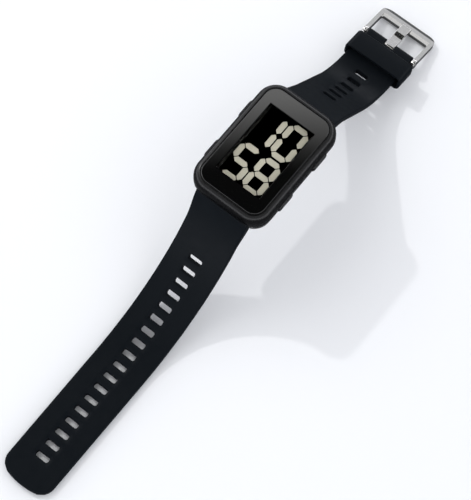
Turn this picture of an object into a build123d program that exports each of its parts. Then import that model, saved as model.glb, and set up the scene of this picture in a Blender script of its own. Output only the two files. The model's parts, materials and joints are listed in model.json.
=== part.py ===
from build123d import *
import math
import os

os.makedirs("parts", exist_ok=True)

# A digital watch laid open on a table, in millimetres.
# X points to three o'clock, Y to twelve o'clock and the buckle, Z up from the table.
# The watch stands as an arch: the case is on top and each half of the strap runs down to the table.

# Case, seen from above
case_width = 30.3
case_length = 46.1
case_corner_radius = 7.2
case_rim_width = 2.25
case_rim_land = 0.1
case_rim_drop = 3.6
case_wall_drop = 5.3
case_side_taper = 13.5
case_base_bevel = 0.3

# Crystal and the seat it is bonded to
crystal_thickness = 1.0
crystal_corner_radius = 4.5
crystal_edge_bevel = 0.25
crystal_gap = 0.1
mask_thickness = 0.15
gasket_width = 1.3

# Display, from the top down
mask_side_width = 3.55
mask_end_width = 6.1
window_corner_radius = 0.4
display_side_margin = 0.8
display_end_margin = 0.8
film_thickness = 0.15
film_gap = 0.05
lcd_glass_thickness = 0.55
lcd_cell_gap = 0.1
lcd_seal_width = 0.45
contact_ledge = 1.1
guide_thickness = 2.2
tray_floor = 0.8
tray_gap = 0.2
leg_depth = 0.9
leg_length = 2.4
leg_end_margin = 4.64
seat_thickness = 0.8

# Digits: two rows of two, each a seven-segment figure
digit_side_margin = 0.9
digit_end_margin = 0.1
digit_column_gap = 0.5
digit_row_gap = 0.8
segment_width = 2.0
segment_gap = 0.22
segment_tip_share = 0.72
segments_lit = {
    "top_left": "bc",
    "top_right": "abcdef",
    "bottom_left": "acdfg",
    "bottom_right": "abcdefg",
}

# Board and what hangs under it
board_thickness = 0.8
board_gap = 0.3
chip_radius = 3.8
chip_height = 1.2
chip_gap = 1.2
chip_end_margin = 2.84
quartz_radius = 0.9
quartz_length = 6.0
battery_side_margin = 2.27
battery_end_margin = 2.44
battery_thickness = 1.6
battery_rim_bevel = 0.3
battery_step = 0.2
battery_contact_thickness = 0.3
battery_contact_width = 3.0
battery_contact_length = 12.0
clip_thickness = 0.2
clip_width = 5.0
clip_side_gap = 0.7
back_air = 0.5
sounder_radius = 4.0
sounder_thickness = 0.25
led_size = 1.2

# Case back
back_thickness = 0.9
back_rise = 0.3
back_gap = 0.1
back_corner_radius = 3.0
back_edge_bevel = 0.25
back_shelf = 1.1
back_lip = 0.65
back_pad_margin = 3.2
back_gasket_width = 0.5
back_gasket_depth = 0.45
screw_inset = 0.32
screw_outset = 0.46
screw_ear_radius = 1.2
screw_shaft_radius = 0.4
screw_length = 3.0
screw_head_radius = 0.8
screw_head_height = 0.45
screw_slot_width = 0.3
screw_slot_depth = 0.25
bay_corner_radius = 3.6

# Buttons
button_length = 7.5
button_height = 2.9
button_proud = 0.5
button_gap = 0.12
button_edge_bevel = 0.3
button_sink = 1.4
button_travel = 0.4
button_upper_margin = 13.95
button_lower_margin = 14.25
stem_radius = 0.7
stem_gap = 0.05
seal_width = 0.45
seal_length = 0.6
retainer_radius = 1.2
retainer_thickness = 0.35
retainer_gap = 0.1
leaf_thickness = 0.12
leaf_width = 3.0
leaf_foot = 1.0
leaf_height = 2.6
leaf_bow = 0.35
leaf_gap = 0.02

# Spring bars at the case
bar_radius = 0.75
bar_tip_radius = 0.5
bar_tip_reach = 1.2
bar_shoulder = 0.7
hole_gap = 0.06
lug_gap = 0.2
pin_height = 3.4
pin_inset = 1.66
knuckle_radius = 1.9
notch_gap = 0.45

# Strap
lug_wall = 4.65
strap_flare_width = 0.5
strap_tip_inset = 0.3
strap_thickness = 2.2
strap_edge_radius = 0.45
strap_flare_length = 10.0
strap_taper_length = 12.0
slot_width = 5.2
slot_length = 2.0
slot_corner_radius = 0.65
slot_pitch = 4.925
long_root_angle = 64.3
long_bend_radius = 61.1
long_first_slot_place = 23.4
long_slot_count = 18
long_tip_margin = 11.45
tip_corner_radius = 5.4
tip_crown_radius = 30.0
short_root_angle = 45.3
short_end_angle = 10.0
short_bend_radius = 28.5
short_end_run = 13.6
short_first_slot_place = 18.5
short_slot_count = 6

# Buckle, measured from its pin
buckle_pin_height = 4.3
buckle_knuckle_radius = 1.7
buckle_shoulder_width = 0.55
buckle_shoulder = 3.4
buckle_shoulder_slant = 0.8
buckle_arm_gap = 0.45
buckle_arm_width = 1.5
buckle_window_length = 9.6
buckle_bar_width = 4.5
buckle_half_height = 1.1
buckle_eye_radius = 1.7
buckle_corner_radius = 3.6
buckle_window_radius = 0.9
buckle_bevel_width = 0.95
buckle_bevel_drop = 0.8
buckle_slope_width = 2.0
buckle_slope_drop = 1.3
buckle_edge_bevel = 0.3
buckle_bar_radius = 0.7
buckle_tip_radius = 0.45
tongue_width = 3.7
tongue_thickness = 0.85
tongue_gap = 0.25
tongue_eye_wall = 0.6
tongue_valley_place = 3.6
tongue_valley_drop = 0.35
tongue_bend_start = 4.6
tongue_bend_end = 6.4
tongue_tip_place = 10.5
tongue_rest_gap = 0.05

# Keeper
keeper_length = 8.0
keeper_wall = 1.0
keeper_side_gap = 0.9
keeper_side_shift = 0.6
keeper_under_gap = 0.15
keeper_spare = 0.3
keeper_outer_radius = 2.1
keeper_inner_radius = 0.4
keeper_from_pin = 8.2

# Cuts run past the face they open by this much
overrun = 1.0


def heading(slope):
    """Unit vector of the way the top line goes: outwards, and down by the slope in degrees."""
    angle = math.radians(slope)
    return math.cos(angle), -math.sin(angle)


def facing(slope):
    """Unit vector square to the top line, away from the table."""
    angle = math.radians(slope)
    return math.sin(angle), math.cos(angle)


# The crystal fills the case's rim, and the window in its mask sets the size of the display
crystal_inset = case_rim_width + case_rim_land + crystal_gap
crystal_width = case_width - 2 * crystal_inset
crystal_length = case_length - 2 * crystal_inset
window_width = crystal_width - 2 * mask_side_width
window_length = crystal_length - 2 * mask_end_width

# The figures share the window evenly; their sizes are measured between the middles of their segments
figure_width = (window_width - 2 * digit_side_margin - digit_column_gap) / 2
figure_length = (window_length - 2 * digit_end_margin - digit_row_gap) / 2
digit_width = figure_width - segment_width
digit_height = figure_length - segment_width
digit_column_pitch = figure_width + digit_column_gap
digit_row_pitch = figure_length + digit_row_gap

# The strap's head fits between the case's lugs, and the strap and its buckle end follow from it
strap_head_width = case_width - 2 * lug_wall
strap_width = strap_head_width - 2 * strap_flare_width
strap_tip_width = strap_width - 2 * strap_tip_inset
buckle_end_width = strap_width - 2 * buckle_shoulder_width

# Heights in the case, counted up from its base
bay_floor = (
    back_thickness
    + back_air
    + clip_thickness
    + battery_thickness
    + battery_contact_thickness
)
board_top = bay_floor + board_thickness
tray_top_of_floor = board_top + tray_floor
rear_film_bottom = tray_top_of_floor + guide_thickness
rear_glass_bottom = rear_film_bottom + film_thickness
cell_bottom = rear_glass_bottom + lcd_glass_thickness
cell_top = cell_bottom + lcd_cell_gap
front_glass_top = cell_top + lcd_glass_thickness
front_film_top = front_glass_top + film_thickness
mask_bottom = front_film_top + film_gap
crystal_bottom = mask_bottom + mask_thickness
case_height = crystal_bottom + crystal_thickness
seat_bottom = mask_bottom - seat_thickness
button_axis = tray_top_of_floor + button_height / 4 - tray_gap

# The long half bends down to the table, and this sets how high the case stands
long_drop = long_bend_radius * (1 - math.cos(math.radians(long_root_angle)))
long_facing = facing(long_root_angle)
pin_z = strap_thickness + long_drop - knuckle_radius * long_facing[1]
base_z = pin_z - pin_height
pin_y = case_length / 2 - pin_inset
notch_radius = knuckle_radius + notch_gap
notch_width = strap_head_width + 2 * lug_gap

# The short half has a straight run as long as the height of the case asks for
short_facing = facing(short_root_angle)
end_facing = facing(short_end_angle)
short_start_z = pin_z + knuckle_radius * short_facing[1]
short_end_z = buckle_pin_height + buckle_knuckle_radius * end_facing[1]
short_bend_drop = short_bend_radius * (end_facing[1] - short_facing[1])
short_end_drop = short_end_run * end_facing[0]
short_straight = (short_start_z - short_end_z - short_bend_drop - short_end_drop) / short_facing[0]

# Cavity under the crystal seat, and the case back that closes it
display_width = window_width + 2 * display_side_margin
display_length = window_length + 2 * display_end_margin
tray_inner_width = display_width + 2 * tray_gap
tray_inner_length = display_length + 2 * tray_gap
notch_wall_y = pin_y - notch_radius
back_length = 2 * (notch_wall_y - back_thickness)
bay_length = back_length - 2 * back_shelf
tray_length = bay_length - 2 * tray_gap
base_inset = (case_height - case_wall_drop) * math.tan(math.radians(case_side_taper))
bay_width = case_width - 2 * (base_inset + back_lip + back_shelf)
tray_width = bay_width - 2 * tray_gap
back_width = bay_width + 2 * back_shelf
leg_place = tray_length / 2 - leg_end_margin
button_upper_place = case_length / 2 - button_upper_margin
button_lower_place = case_length / 2 - button_lower_margin
screw_x = bay_width / 2 - screw_inset
screw_y = bay_length / 2 + screw_outset

# The battery is the largest round cell that leaves room for its clip and for the chip beyond it
battery_room = bay_length - battery_end_margin - chip_gap - 2 * chip_radius - chip_end_margin
battery_radius = min(bay_width / 2 - battery_side_margin, battery_room / 2)
battery_place = battery_end_margin + battery_radius - bay_length / 2
chip_place = battery_place + battery_radius + chip_gap + chip_radius

# Buckle frame
buckle_inner_width = buckle_end_width + 2 * buckle_arm_gap
buckle_outer_width = buckle_inner_width + 2 * buckle_arm_width
buckle_length = buckle_window_length + buckle_bar_width
buckle_reach = math.hypot(buckle_length, buckle_half_height)
buckle_tilt = math.degrees(
    math.asin(buckle_pin_height / buckle_reach) - math.atan2(buckle_half_height, buckle_length)
)


def slab(width, length, radius, bottom, top, middle=0):
    """A rounded rectangle as seen from above, between two heights over the case base."""
    outline = RectangleRounded(width, length, radius)
    return Pos(0, middle, base_z + bottom) * extrude(outline, top - bottom)


def frame_slab(width, length, radius, wall, bottom, top):
    """A slab with an even wall and an open middle."""
    inner = slab(width - 2 * wall, length - 2 * wall, radius, bottom - overrun, top + overrun)
    return slab(width, length, radius + wall, bottom, top) - inner


def rod(radius, start, end, y, z):
    """A round bar along X."""
    length = end - start
    return Pos(start, y, z) * Rot(0, 90, 0) * extrude(Circle(radius), length)


def box_between(x, y, z):
    """A box from three pairs of limits."""
    size = [limits[1] - limits[0] for limits in (x, y, z)]
    middle = [(limits[1] + limits[0]) / 2 for limits in (x, y, z)]
    return Pos(*middle) * Box(*size)


def bend(start_y, start_z, slope, radius, turn):
    """A span of a strap's top line that bends back towards the level by an angle in degrees."""
    return {"y": start_y, "z": start_z, "slope": slope, "radius": radius, "turn": turn,
            "length": radius * math.radians(turn)}


def straight(start_y, start_z, slope, length):
    """A straight span of a strap's top line."""
    return {"y": start_y, "z": start_z, "slope": slope, "radius": 0, "turn": 0, "length": length}


def on_span(span, along, depth=0):
    """Point and slope on a span, at a length along it and a depth under the top line."""
    if span["radius"]:
        slope = span["slope"] - math.degrees(along / span["radius"])
        out = facing(span["slope"])
        now = facing(slope)
        y = span["y"] + span["radius"] * (out[0] - now[0])
        z = span["z"] + span["radius"] * (out[1] - now[1])
    else:
        slope = span["slope"]
        way = heading(slope)
        now = facing(slope)
        y = span["y"] + along * way[0]
        z = span["z"] + along * way[1]
    return y - depth * now[0], z - depth * now[1], slope


def on_line(spans, along, depth=0):
    """Point and slope at a length along the whole top line."""
    for span in spans[:-1]:
        if along <= span["length"]:
            return on_span(span, along, depth)
        along -= span["length"]
    return on_span(spans[-1], along, depth)


def line_edges(spans, side, depth, start=0):
    """The edges of a line that runs under the top line at an even depth, from a length along it."""
    edges = []
    passed = 0
    for span in spans:
        first = max(start - passed, 0)
        passed += span["length"]
        if first >= span["length"]:
            continue
        ends = [first, (first + span["length"]) / 2, span["length"]]
        points = [on_span(span, along, depth) for along in ends]
        points = [(side * point[0], point[1]) for point in points]
        if span["radius"]:
            edges.append(ThreePointArc(*points))
        else:
            edges.append(Line(points[0], points[-1]))
    return edges


def strap_profile(spans, side):
    """Side view of a strap half: even in thickness, and thicker towards the knuckle at the case."""
    total = sum(span["length"] for span in spans)
    root_depth = 2 * knuckle_radius
    mid_depth = (root_depth + strap_thickness) / 2
    stations = [(0, root_depth), (strap_taper_length / 2, mid_depth), (strap_taper_length, strap_thickness)]
    root = [on_line(spans, along, depth) for along, depth in stations]
    root = [(side * point[0], point[1]) for point in root]
    start = on_line(spans, 0)
    top_end = on_line(spans, total)
    under_end = on_line(spans, total, strap_thickness)
    edges = line_edges(spans, side, 0)
    edges += line_edges(spans, side, strap_thickness, strap_taper_length)
    edges.append(Line((side * top_end[0], top_end[1]), (side * under_end[0], under_end[1])))
    edges += edge_line(root)
    edges.append(Line((side * start[0], start[1]), root[0]))
    knuckle = Pos(side * pin_y, pin_z) * Circle(knuckle_radius)
    return make_face(edges) + knuckle


def edge_line(points):
    """Straight edges through points in the XY plane."""
    return [Line(start, end) for start, end in zip(points, points[1:])]


def flare_edges(side, taper):
    """The right side of the strap's head, and where it narrows to a taper given in radians."""
    head = strap_head_width / 2
    inner = (head, side * (pin_y - knuckle_radius - overrun))
    start = (head, side * case_length / 2)
    end = (strap_width / 2, side * (case_length / 2 + strap_flare_length))
    tangents = [(0, side), (-math.sin(taper), side * math.cos(taper))]
    return [Line(inner, start), Spline(start, end, tangents=tangents)]


def outline_face(right_edges, middle_edges):
    """A face that is the same on both sides, from its right edges and those across the middle."""
    left_edges = [mirror(edge, Plane.YZ) for edge in right_edges]
    return make_face(right_edges + left_edges + middle_edges)


def level_line(point):
    """An edge across the middle, from a point on the right to its twin on the left."""
    x, y = tuple(point)[:2]
    return Line((x, y), (-x, y))


def on_circle(centre, radius, angle):
    """A point on a circle, at an angle in radians from X towards the tip."""
    return centre[0] + radius * math.cos(angle), centre[1] - radius * math.sin(angle)


def slot_tool(spans, side, along):
    """The cutter for one slot, square to the strap where it cuts."""
    y, z, slope = on_line(spans, along, strap_thickness / 2)
    out = facing(slope)
    place = Plane(origin=(0, side * y, z), x_dir=(1, 0, 0), z_dir=(0, side * out[0], out[1]))
    outline = RectangleRounded(slot_width, slot_length, slot_corner_radius)
    return extrude(place * outline, strap_thickness / 2 + overrun, both=True)


def rounded_top(band, spans, side, last):
    """Rounds the long top edges of a band from just outside the case, up to a length along it."""
    head_end = case_length / 2 + lug_gap
    limits = sorted((0, side * head_end))
    head = band & box_between((-strap_head_width, strap_head_width), limits, (0, base_z + case_height))
    rest = band - box_between((-strap_head_width, strap_head_width), limits, (0, base_z + case_height))
    picked = []
    for edge in rest.edges():
        middle = edge @ 0.5
        if abs(middle.X) < strap_tip_width / 2 - strap_edge_radius or edge.length < strap_thickness:
            continue
        along = nearest_along(spans, side * middle.Y)
        if along < last and middle.Z > on_line(spans, along, strap_thickness / 4)[1]:
            picked.append(edge)
    return fillet(picked, strap_edge_radius) + head


def nearest_along(spans, y):
    """The length along a top line at which it has come out to a distance y."""
    low = 0
    high = sum(span["length"] for span in spans)
    for _ in range(40):
        middle = (low + high) / 2
        if on_line(spans, middle)[0] < y:
            low = middle
        else:
            high = middle
    return low


def case_body():
    """The moulded case: rim, crystal seat, module bay, screw bosses, lug notches and button ports."""
    wall_bottom = case_height - case_wall_drop
    outline = RectangleRounded(case_width, case_length, case_corner_radius)
    body = slab(case_width, case_length, case_corner_radius, wall_bottom, case_height) - rim_cutter()
    lower = Pos(0, 0, base_z + wall_bottom) * extrude(outline, -wall_bottom, taper=case_side_taper)
    body += chamfer(lower.edges().group_by(Axis.Z)[0], case_base_bevel)
    seat_width = crystal_width + 2 * crystal_gap
    seat_length = crystal_length + 2 * crystal_gap
    seat_radius = crystal_corner_radius + crystal_gap
    body -= slab(seat_width, seat_length, seat_radius, mask_bottom, case_height + overrun)
    bay_top = seat_bottom - overrun
    body -= slab(tray_inner_width, tray_inner_length, window_corner_radius, bay_top, case_height)
    body -= slab(bay_width, bay_length, bay_corner_radius, 0, seat_bottom)
    body -= eared_plate(0, -overrun, back_thickness)
    body -= back_gasket_ring(0)
    for x, y in screw_places():
        body -= Pos(x, y, base_z) * extrude(Circle(screw_shaft_radius), screw_length)
    for side in (-1, 1):
        body -= lug_notch(side)
        body -= rod(bar_tip_radius + hole_gap, -tip_end(), tip_end(), side * pin_y, pin_z)
    for side, place in button_places():
        body -= button_port(side, place)
    return body


def rim_cutter():
    """What the rounded rim takes off the case's top edge: the outside of a quarter ellipse, all round."""
    width = case_rim_width
    drop = case_rim_drop
    outline = RectangleRounded(case_width, case_length, case_corner_radius)
    path = Pos(0, 0, base_z + case_height) * outline.wire()
    start = path @ 0
    along = path % 0
    turn = 1 if along.Y * start.X - along.X * start.Y > 0 else -1
    outwards = (turn * along.Y, -turn * along.X, 0)
    edges = [EllipticalCenterArc((-width, -drop), width, drop)]
    corners = [(-width, 0), (-width, overrun), (overrun, overrun), (overrun, -drop), (0, -drop)]
    edges += edge_line(corners)
    place = Plane(origin=start, x_dir=outwards, z_dir=(-turn * along.X, -turn * along.Y, 0))
    return sweep(place * make_face(edges), path=path)


def eared_plate(gap, bottom, top):
    """A plate with a round ear at each screw, smaller by a gap all round than its recess."""
    plate = slab(back_width - 2 * gap, back_length - 2 * gap, back_corner_radius - gap, bottom, top)
    for x, y in screw_places():
        plate += Pos(x, y, base_z + bottom) * extrude(Circle(screw_ear_radius - gap), top - bottom)
    return plate


def screw_places():
    """The four corners where the case back is screwed down."""
    return [(x, y) for x in (-screw_x, screw_x) for y in (-screw_y, screw_y)]


def tip_end():
    """How far a spring bar's tip reaches along X."""
    return notch_width / 2 + bar_tip_reach


def lug_notch(side):
    """The open notch under the end wall, where the strap's knuckle turns."""
    around = rod(notch_radius, -notch_width / 2, notch_width / 2, side * pin_y, pin_z)
    inner = pin_y - notch_radius
    outer = case_length / 2 + overrun
    limits = sorted((side * inner, side * outer))
    below = box_between((-notch_width / 2, notch_width / 2), limits, (base_z - overrun, pin_z))
    return around + below


def back_gasket_ring(squeeze):
    """The groove in the case's shelf, or with a squeeze the seal that lies in it."""
    margin = (back_shelf - back_gasket_width) / 2
    width = bay_width + 2 * (margin + back_gasket_width) - 2 * squeeze
    length = bay_length + 2 * (margin + back_gasket_width) - 2 * squeeze
    wall = back_gasket_width - 2 * squeeze
    top = back_thickness + back_gasket_depth
    return frame_slab(width, length, bay_corner_radius, wall, back_thickness, top)


def button_places():
    """Side and place along the case of each button."""
    return [(side, place) for side in (-1, 1) for place in (button_upper_place, -button_lower_place)]


def along_x(side, start, end, y, solid_radius):
    """A round bar between two distances from the middle plane, on one side."""
    limits = sorted((side * start, side * end))
    return rod(solid_radius, limits[0], limits[1], y, base_z + button_axis)


def button_outline(side, place, grow, start, end):
    """A bar with a button's long rounded outline, between two distances from the middle plane."""
    height = button_height + 2 * grow
    middle = button_length - button_height
    place_z = base_z + button_axis
    face = Plane(origin=(side * start, place, place_z), x_dir=(0, 1, 0), z_dir=(side, 0, 0))
    outline = SlotCenterToCenter(middle, height)
    return extrude(face * outline, end - start)


def button_port(side, place):
    """The pocket for a button's head, the seat of its seal and the bore for its stem."""
    wall = case_width / 2
    pocket = button_outline(side, place, button_gap, wall - button_sink, wall + overrun)
    bore = along_x(side, bay_width / 2 - overrun, wall, place, stem_radius + stem_gap)
    seat_end = wall - button_sink + overrun
    seat = along_x(side, wall - button_sink - seal_length, seat_end, place, stem_radius + seal_width)
    return pocket + bore + seat


def button(side, place):
    """A button: rounded head, stem with a groove for its retaining clip."""
    wall = case_width / 2
    head_start = wall - button_sink + button_travel + tray_gap / 2
    head = button_outline(side, place, 0, head_start, wall + button_proud)
    outer = head.faces().sort_by(Axis.X)[-1 if side > 0 else 0]
    head = chamfer(outer.edges(), button_edge_bevel)
    stem = along_x(side, stem_inner_end(), head_start + button_edge_bevel, place, stem_radius)
    groove_start = retainer_place()
    neck_radius = stem_radius - leaf_thickness
    groove = along_x(side, groove_start, groove_start + retainer_thickness, place, stem_radius + overrun)
    groove -= along_x(side, groove_start - overrun, groove_start + overrun, place, neck_radius)
    return head + stem - groove


def stem_inner_end():
    """Distance from the middle plane to the inner end of a button's stem."""
    return retainer_place() - stem_radius / 2


def retainer_place():
    """Distance from the middle plane to the inner face of a retaining clip."""
    return bay_width / 2 - retainer_gap - retainer_thickness


def button_retainer(side, place):
    """The clip that keeps a button in: a ring with an open side that faces down."""
    start = retainer_place()
    end = start + retainer_thickness
    ring = along_x(side, start, end, place, retainer_radius)
    ring -= along_x(side, start - overrun, end + overrun, place, stem_radius - leaf_thickness)
    limits = sorted((side * (start - overrun), side * (end + overrun)))
    gap = stem_radius - leaf_thickness
    below = (base_z + button_axis - retainer_radius - overrun, base_z + button_axis)
    return ring - box_between(limits, (place - gap, place + gap), below)


def button_seal(side, place):
    """The rubber ring round a stem."""
    start = case_width / 2 - button_sink - seal_length
    ring = along_x(side, start, start + seal_length, place, stem_radius + seal_width)
    return ring - along_x(side, start - overrun, start + 2 * seal_length, place, stem_radius + stem_gap / 2)


def button_pocket_depth():
    """Distance from the middle plane to the floor of a tray pocket behind a button."""
    return stem_inner_end() - button_travel - leaf_thickness - leaf_bow


def button_leaf(side, place):
    """The springy contact behind a button: a foot on the board and a bowed blade."""
    inner = button_pocket_depth()
    foot_z = base_z + board_top
    top_z = foot_z + leaf_height
    crown_z = base_z + button_axis
    bow_x = stem_inner_end() - leaf_gap
    outline = [
        (inner, foot_z),
        (inner + leaf_foot, foot_z),
        (inner + leaf_foot, foot_z + leaf_thickness),
        (inner + leaf_thickness, foot_z + leaf_thickness),
        (bow_x, crown_z),
        (inner + 2 * leaf_thickness, top_z),
        (inner + leaf_thickness, top_z),
        (bow_x - leaf_thickness, crown_z),
        (inner, foot_z + 2 * leaf_thickness),
    ]
    face = make_face(Polyline(*[(side * x, z) for x, z in outline], close=True))
    return Pos(0, place, 0) * extrude(Plane.XZ * face, leaf_width / 2, both=True)


def crystal():
    """The flat crystal with a fine bevel round its top."""
    pane = slab(crystal_width, crystal_length, crystal_corner_radius, crystal_bottom, case_height)
    return chamfer(pane.edges().group_by(Axis.Z)[-1], crystal_edge_bevel)


def crystal_gasket():
    """The frame seal that the crystal is bonded to."""
    radius = crystal_corner_radius - gasket_width
    return frame_slab(crystal_width, crystal_length, radius, gasket_width, mask_bottom, crystal_bottom)


def dial_mask():
    """The black mask under the crystal, with the window for the display."""
    width = crystal_width - 2 * gasket_width - 2 * crystal_gap
    length = crystal_length - 2 * gasket_width - 2 * crystal_gap
    radius = crystal_corner_radius - gasket_width
    plate = slab(width, length, radius, mask_bottom, crystal_bottom)
    below = mask_bottom - overrun
    return plate - slab(window_width, window_length, window_corner_radius, below, case_height)


def display_layer(side_loss, bottom, top, inset=0, end_loss=0):
    """One layer of the display, narrower than the front glass by a loss at each side."""
    width = display_width - 2 * side_loss - 2 * inset
    length = display_length - end_loss - 2 * inset
    return slab(width, length, window_corner_radius, bottom, top, end_loss / 2)


def lcd_seal():
    """The seal line that holds the two glasses of the display apart."""
    width = display_width - 2 * contact_ledge
    inner_width = width - 2 * lcd_seal_width
    inner_length = display_length - 2 * lcd_seal_width
    inner = slab(inner_width, inner_length, window_corner_radius / 2, cell_bottom, cell_top)
    return slab(width, display_length, window_corner_radius, cell_bottom, cell_top) - inner


def segment_outline(length):
    """A segment lying along X: a bar whose ends are cut to blunt points."""
    half = segment_width / 2
    reach = length / 2
    shoulder = reach - half * segment_tip_share
    blunt = half * (1 - segment_tip_share)
    right = [(shoulder, half), (reach, blunt), (reach, -blunt), (shoulder, -half)]
    left = [(-x, y) for x, y in reversed(right)]
    return make_face(Polyline(*right, *left, close=True))


def digit_faces(lit):
    """The lit segments of one figure, round its middle."""
    across = digit_width - 2 * segment_gap
    upright = digit_height / 2 - 2 * segment_gap
    level = {"a": 1, "g": 0, "d": -1}
    stand = {"f": (-1, 1), "b": (1, 1), "e": (-1, -1), "c": (1, -1)}
    faces = []
    for name in lit:
        if name in level:
            faces.append(Pos(0, level[name] * digit_height / 2) * segment_outline(across))
        else:
            x, y = stand[name]
            place = Pos(x * digit_width / 2, y * digit_height / 4)
            faces.append(place * Rot(0, 0, 90) * segment_outline(upright))
    return faces


def digit_segments():
    """All the lit segments of the four figures, between the two glasses."""
    solids = []
    for name, lit in segments_lit.items():
        row, column = name.split("_")
        x = digit_column_pitch / 2 * (1 if column == "right" else -1)
        y = digit_row_pitch / 2 * (1 if row == "top" else -1)
        for face in digit_faces(lit):
            solids.append(Pos(x, y, base_z + cell_bottom) * extrude(face, lcd_cell_gap))
    return Compound(children=solids)


def module_frame():
    """The moulded tray of the display, with strip slots, button pockets and legs on the case back."""
    tray = slab(tray_width, tray_length, bay_corner_radius, board_top, seat_bottom)
    tray -= slab(tray_inner_width, tray_inner_length, window_corner_radius, tray_top_of_floor, case_height)
    for side in (-1, 1):
        tray -= strip_box(side, tray_gap / 4)
    for side, place in button_places():
        limits = sorted((side * button_pocket_depth(), side * (tray_width / 2 + overrun)))
        reach = leaf_width / 2 + tray_gap
        heights = (base_z + board_top - overrun, base_z + case_height)
        tray -= box_between(limits, (place - reach, place + reach), heights)
    for leg in leg_boxes(0):
        tray += leg
    return tray


def leg_boxes(grow):
    """The spaces of the tray's four legs, from the case back to the tray."""
    boxes = []
    half = leg_length / 2 + grow
    for side in (-1, 1):
        limits = sorted((side * (tray_width / 2 - leg_depth - grow), side * (tray_width / 2 + grow)))
        for place in (-leg_place, leg_place):
            heights = (base_z + back_thickness, base_z + board_top)
            boxes.append(box_between(limits, (place - half, place + half), heights))
    return boxes


def strip_box(side, grow):
    """The space of a contact strip, from the board to the ledge of the front glass."""
    outer = display_width / 2 - tray_gap / 2
    inner = display_width / 2 - contact_ledge + tray_gap / 2
    limits = sorted((side * (inner - grow), side * (outer + grow)))
    half = window_length / 2 - display_side_margin + grow
    return box_between(limits, (-half, half), (base_z + board_top, base_z + cell_top))


def led_box():
    """The small lamp, at the end of the light guide."""
    end = -display_length / 2
    heights = (base_z + tray_top_of_floor, base_z + tray_top_of_floor + led_size)
    return box_between((-led_size, led_size), (end, end + led_size), heights)


def circuit_board():
    """The board, rounded like the bay it lies in and notched for the tray's legs."""
    board = slab(tray_width, tray_length, bay_corner_radius, bay_floor, board_top)
    for leg in leg_boxes(tray_gap / 4):
        board -= leg
    return board


def chip_cover():
    """The drop of black resin over the chip, under the board."""
    sphere_radius = (chip_radius ** 2 + chip_height ** 2) / (2 * chip_height)
    centre_z = base_z + bay_floor + sphere_radius - chip_height
    ball = Pos(-chip_radius - board_gap, chip_place, centre_z) * Sphere(sphere_radius)
    keep = slab(bay_width, bay_length, bay_corner_radius, 0, bay_floor)
    return ball & keep


def quartz_can():
    """The crystal oscillator's can, lying under the board."""
    z = base_z + bay_floor - quartz_radius
    y = bay_length / 2 - quartz_radius - board_gap
    can = rod(quartz_radius, quartz_radius, quartz_radius + quartz_length, y, z)
    return chamfer(can.edges().filter_by(GeomType.CIRCLE), quartz_radius / 4)


def battery():
    """The coin cell: a can with a smaller cap on the side of the board."""
    bottom = base_z + back_thickness + back_air + clip_thickness
    can = Pos(0, battery_place, bottom) * extrude(Circle(battery_radius), battery_thickness - battery_step)
    can = chamfer(can.edges().group_by(Axis.Z)[0], battery_rim_bevel)
    cap_radius = battery_radius - 2 * battery_rim_bevel - battery_step
    cap = Pos(0, battery_place, bottom) * extrude(Circle(cap_radius), battery_thickness)
    return can + cap


def battery_contact():
    """The strip between the board and the battery's cap."""
    half = battery_contact_length / 2
    reach = battery_contact_width / 2
    top = base_z + bay_floor
    y = (battery_place - reach, battery_place + reach)
    return box_between((-half, half), y, (top - battery_contact_thickness, top))


def battery_clip():
    """The strap that holds the battery up to the board."""
    inner = battery_radius + clip_side_gap
    outer = inner + clip_thickness
    bottom = base_z + back_thickness + back_air
    y = (battery_place - clip_width / 2, battery_place + clip_width / 2)
    strap = box_between((-outer, outer), y, (bottom, base_z + bay_floor))
    return strap - box_between((-inner, inner), (y[0] - overrun, y[1] + overrun),
                               (bottom + clip_thickness, base_z + bay_floor + overrun))


def sounder_disc():
    """The sounder, a thin disc on the inside of the case back."""
    disc = extrude(Circle(sounder_radius), sounder_thickness)
    return Pos(sounder_radius + board_gap, chip_place, base_z + back_thickness) * disc


def sounder_spring():
    """The bent strip that carries the signal from the board down to the sounder."""
    low = base_z + back_thickness + sounder_thickness
    high = base_z + bay_floor
    middle = sounder_radius + board_gap
    reach = sounder_radius / 2
    mid_z = (low + high) / 2
    upper_x = middle - reach
    mid_x = middle + reach / 2
    half = clip_thickness
    outline = [
        (upper_x, high),
        (upper_x, high - half),
        (mid_x - half, mid_z),
        (middle - half, low + half),
        (middle - half, low),
        (middle + half, low),
        (middle + half, low + half),
        (mid_x + half, mid_z),
        (upper_x + 2 * half, high),
    ]
    face = make_face(Polyline(*outline, close=True))
    return Pos(0, chip_place, 0) * extrude(Plane.XZ * face, clip_width / 4, both=True)


def case_back():
    """The plate that closes the case, with a slightly raised middle and four screw holes."""
    width = back_width - 2 * back_gap
    length = back_length - 2 * back_gap
    plate = eared_plate(back_gap, 0, back_thickness)
    pad_width = width - 2 * back_pad_margin
    pad_length = length - 2 * back_pad_margin
    pad = slab(pad_width, pad_length, back_corner_radius, -back_rise, back_thickness)
    pad = chamfer(pad.edges().group_by(Axis.Z)[0], back_edge_bevel)
    plate += pad
    for x, y in screw_places():
        plate -= Pos(x, y, base_z - overrun) * extrude(Circle(screw_shaft_radius + hole_gap), 2 * overrun)
        plate -= Pos(x, y, base_z) * extrude(Circle(screw_head_radius + hole_gap), screw_head_height)
    return plate


def case_back_screw(x, y):
    """A pan-head screw in its sunk hole, with a cross in its head."""
    head = extrude(Circle(screw_head_radius), screw_head_height)
    shaft = extrude(Circle(screw_shaft_radius), screw_length)
    slot = Pos(0, 0, screw_slot_depth / 2) * Box(screw_head_radius, screw_slot_width, screw_slot_depth)
    cross = Pos(0, 0, screw_slot_depth / 2) * Box(screw_slot_width, screw_head_radius, screw_slot_depth)
    return Pos(x, y, base_z) * (head + shaft - slot - cross)


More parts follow.
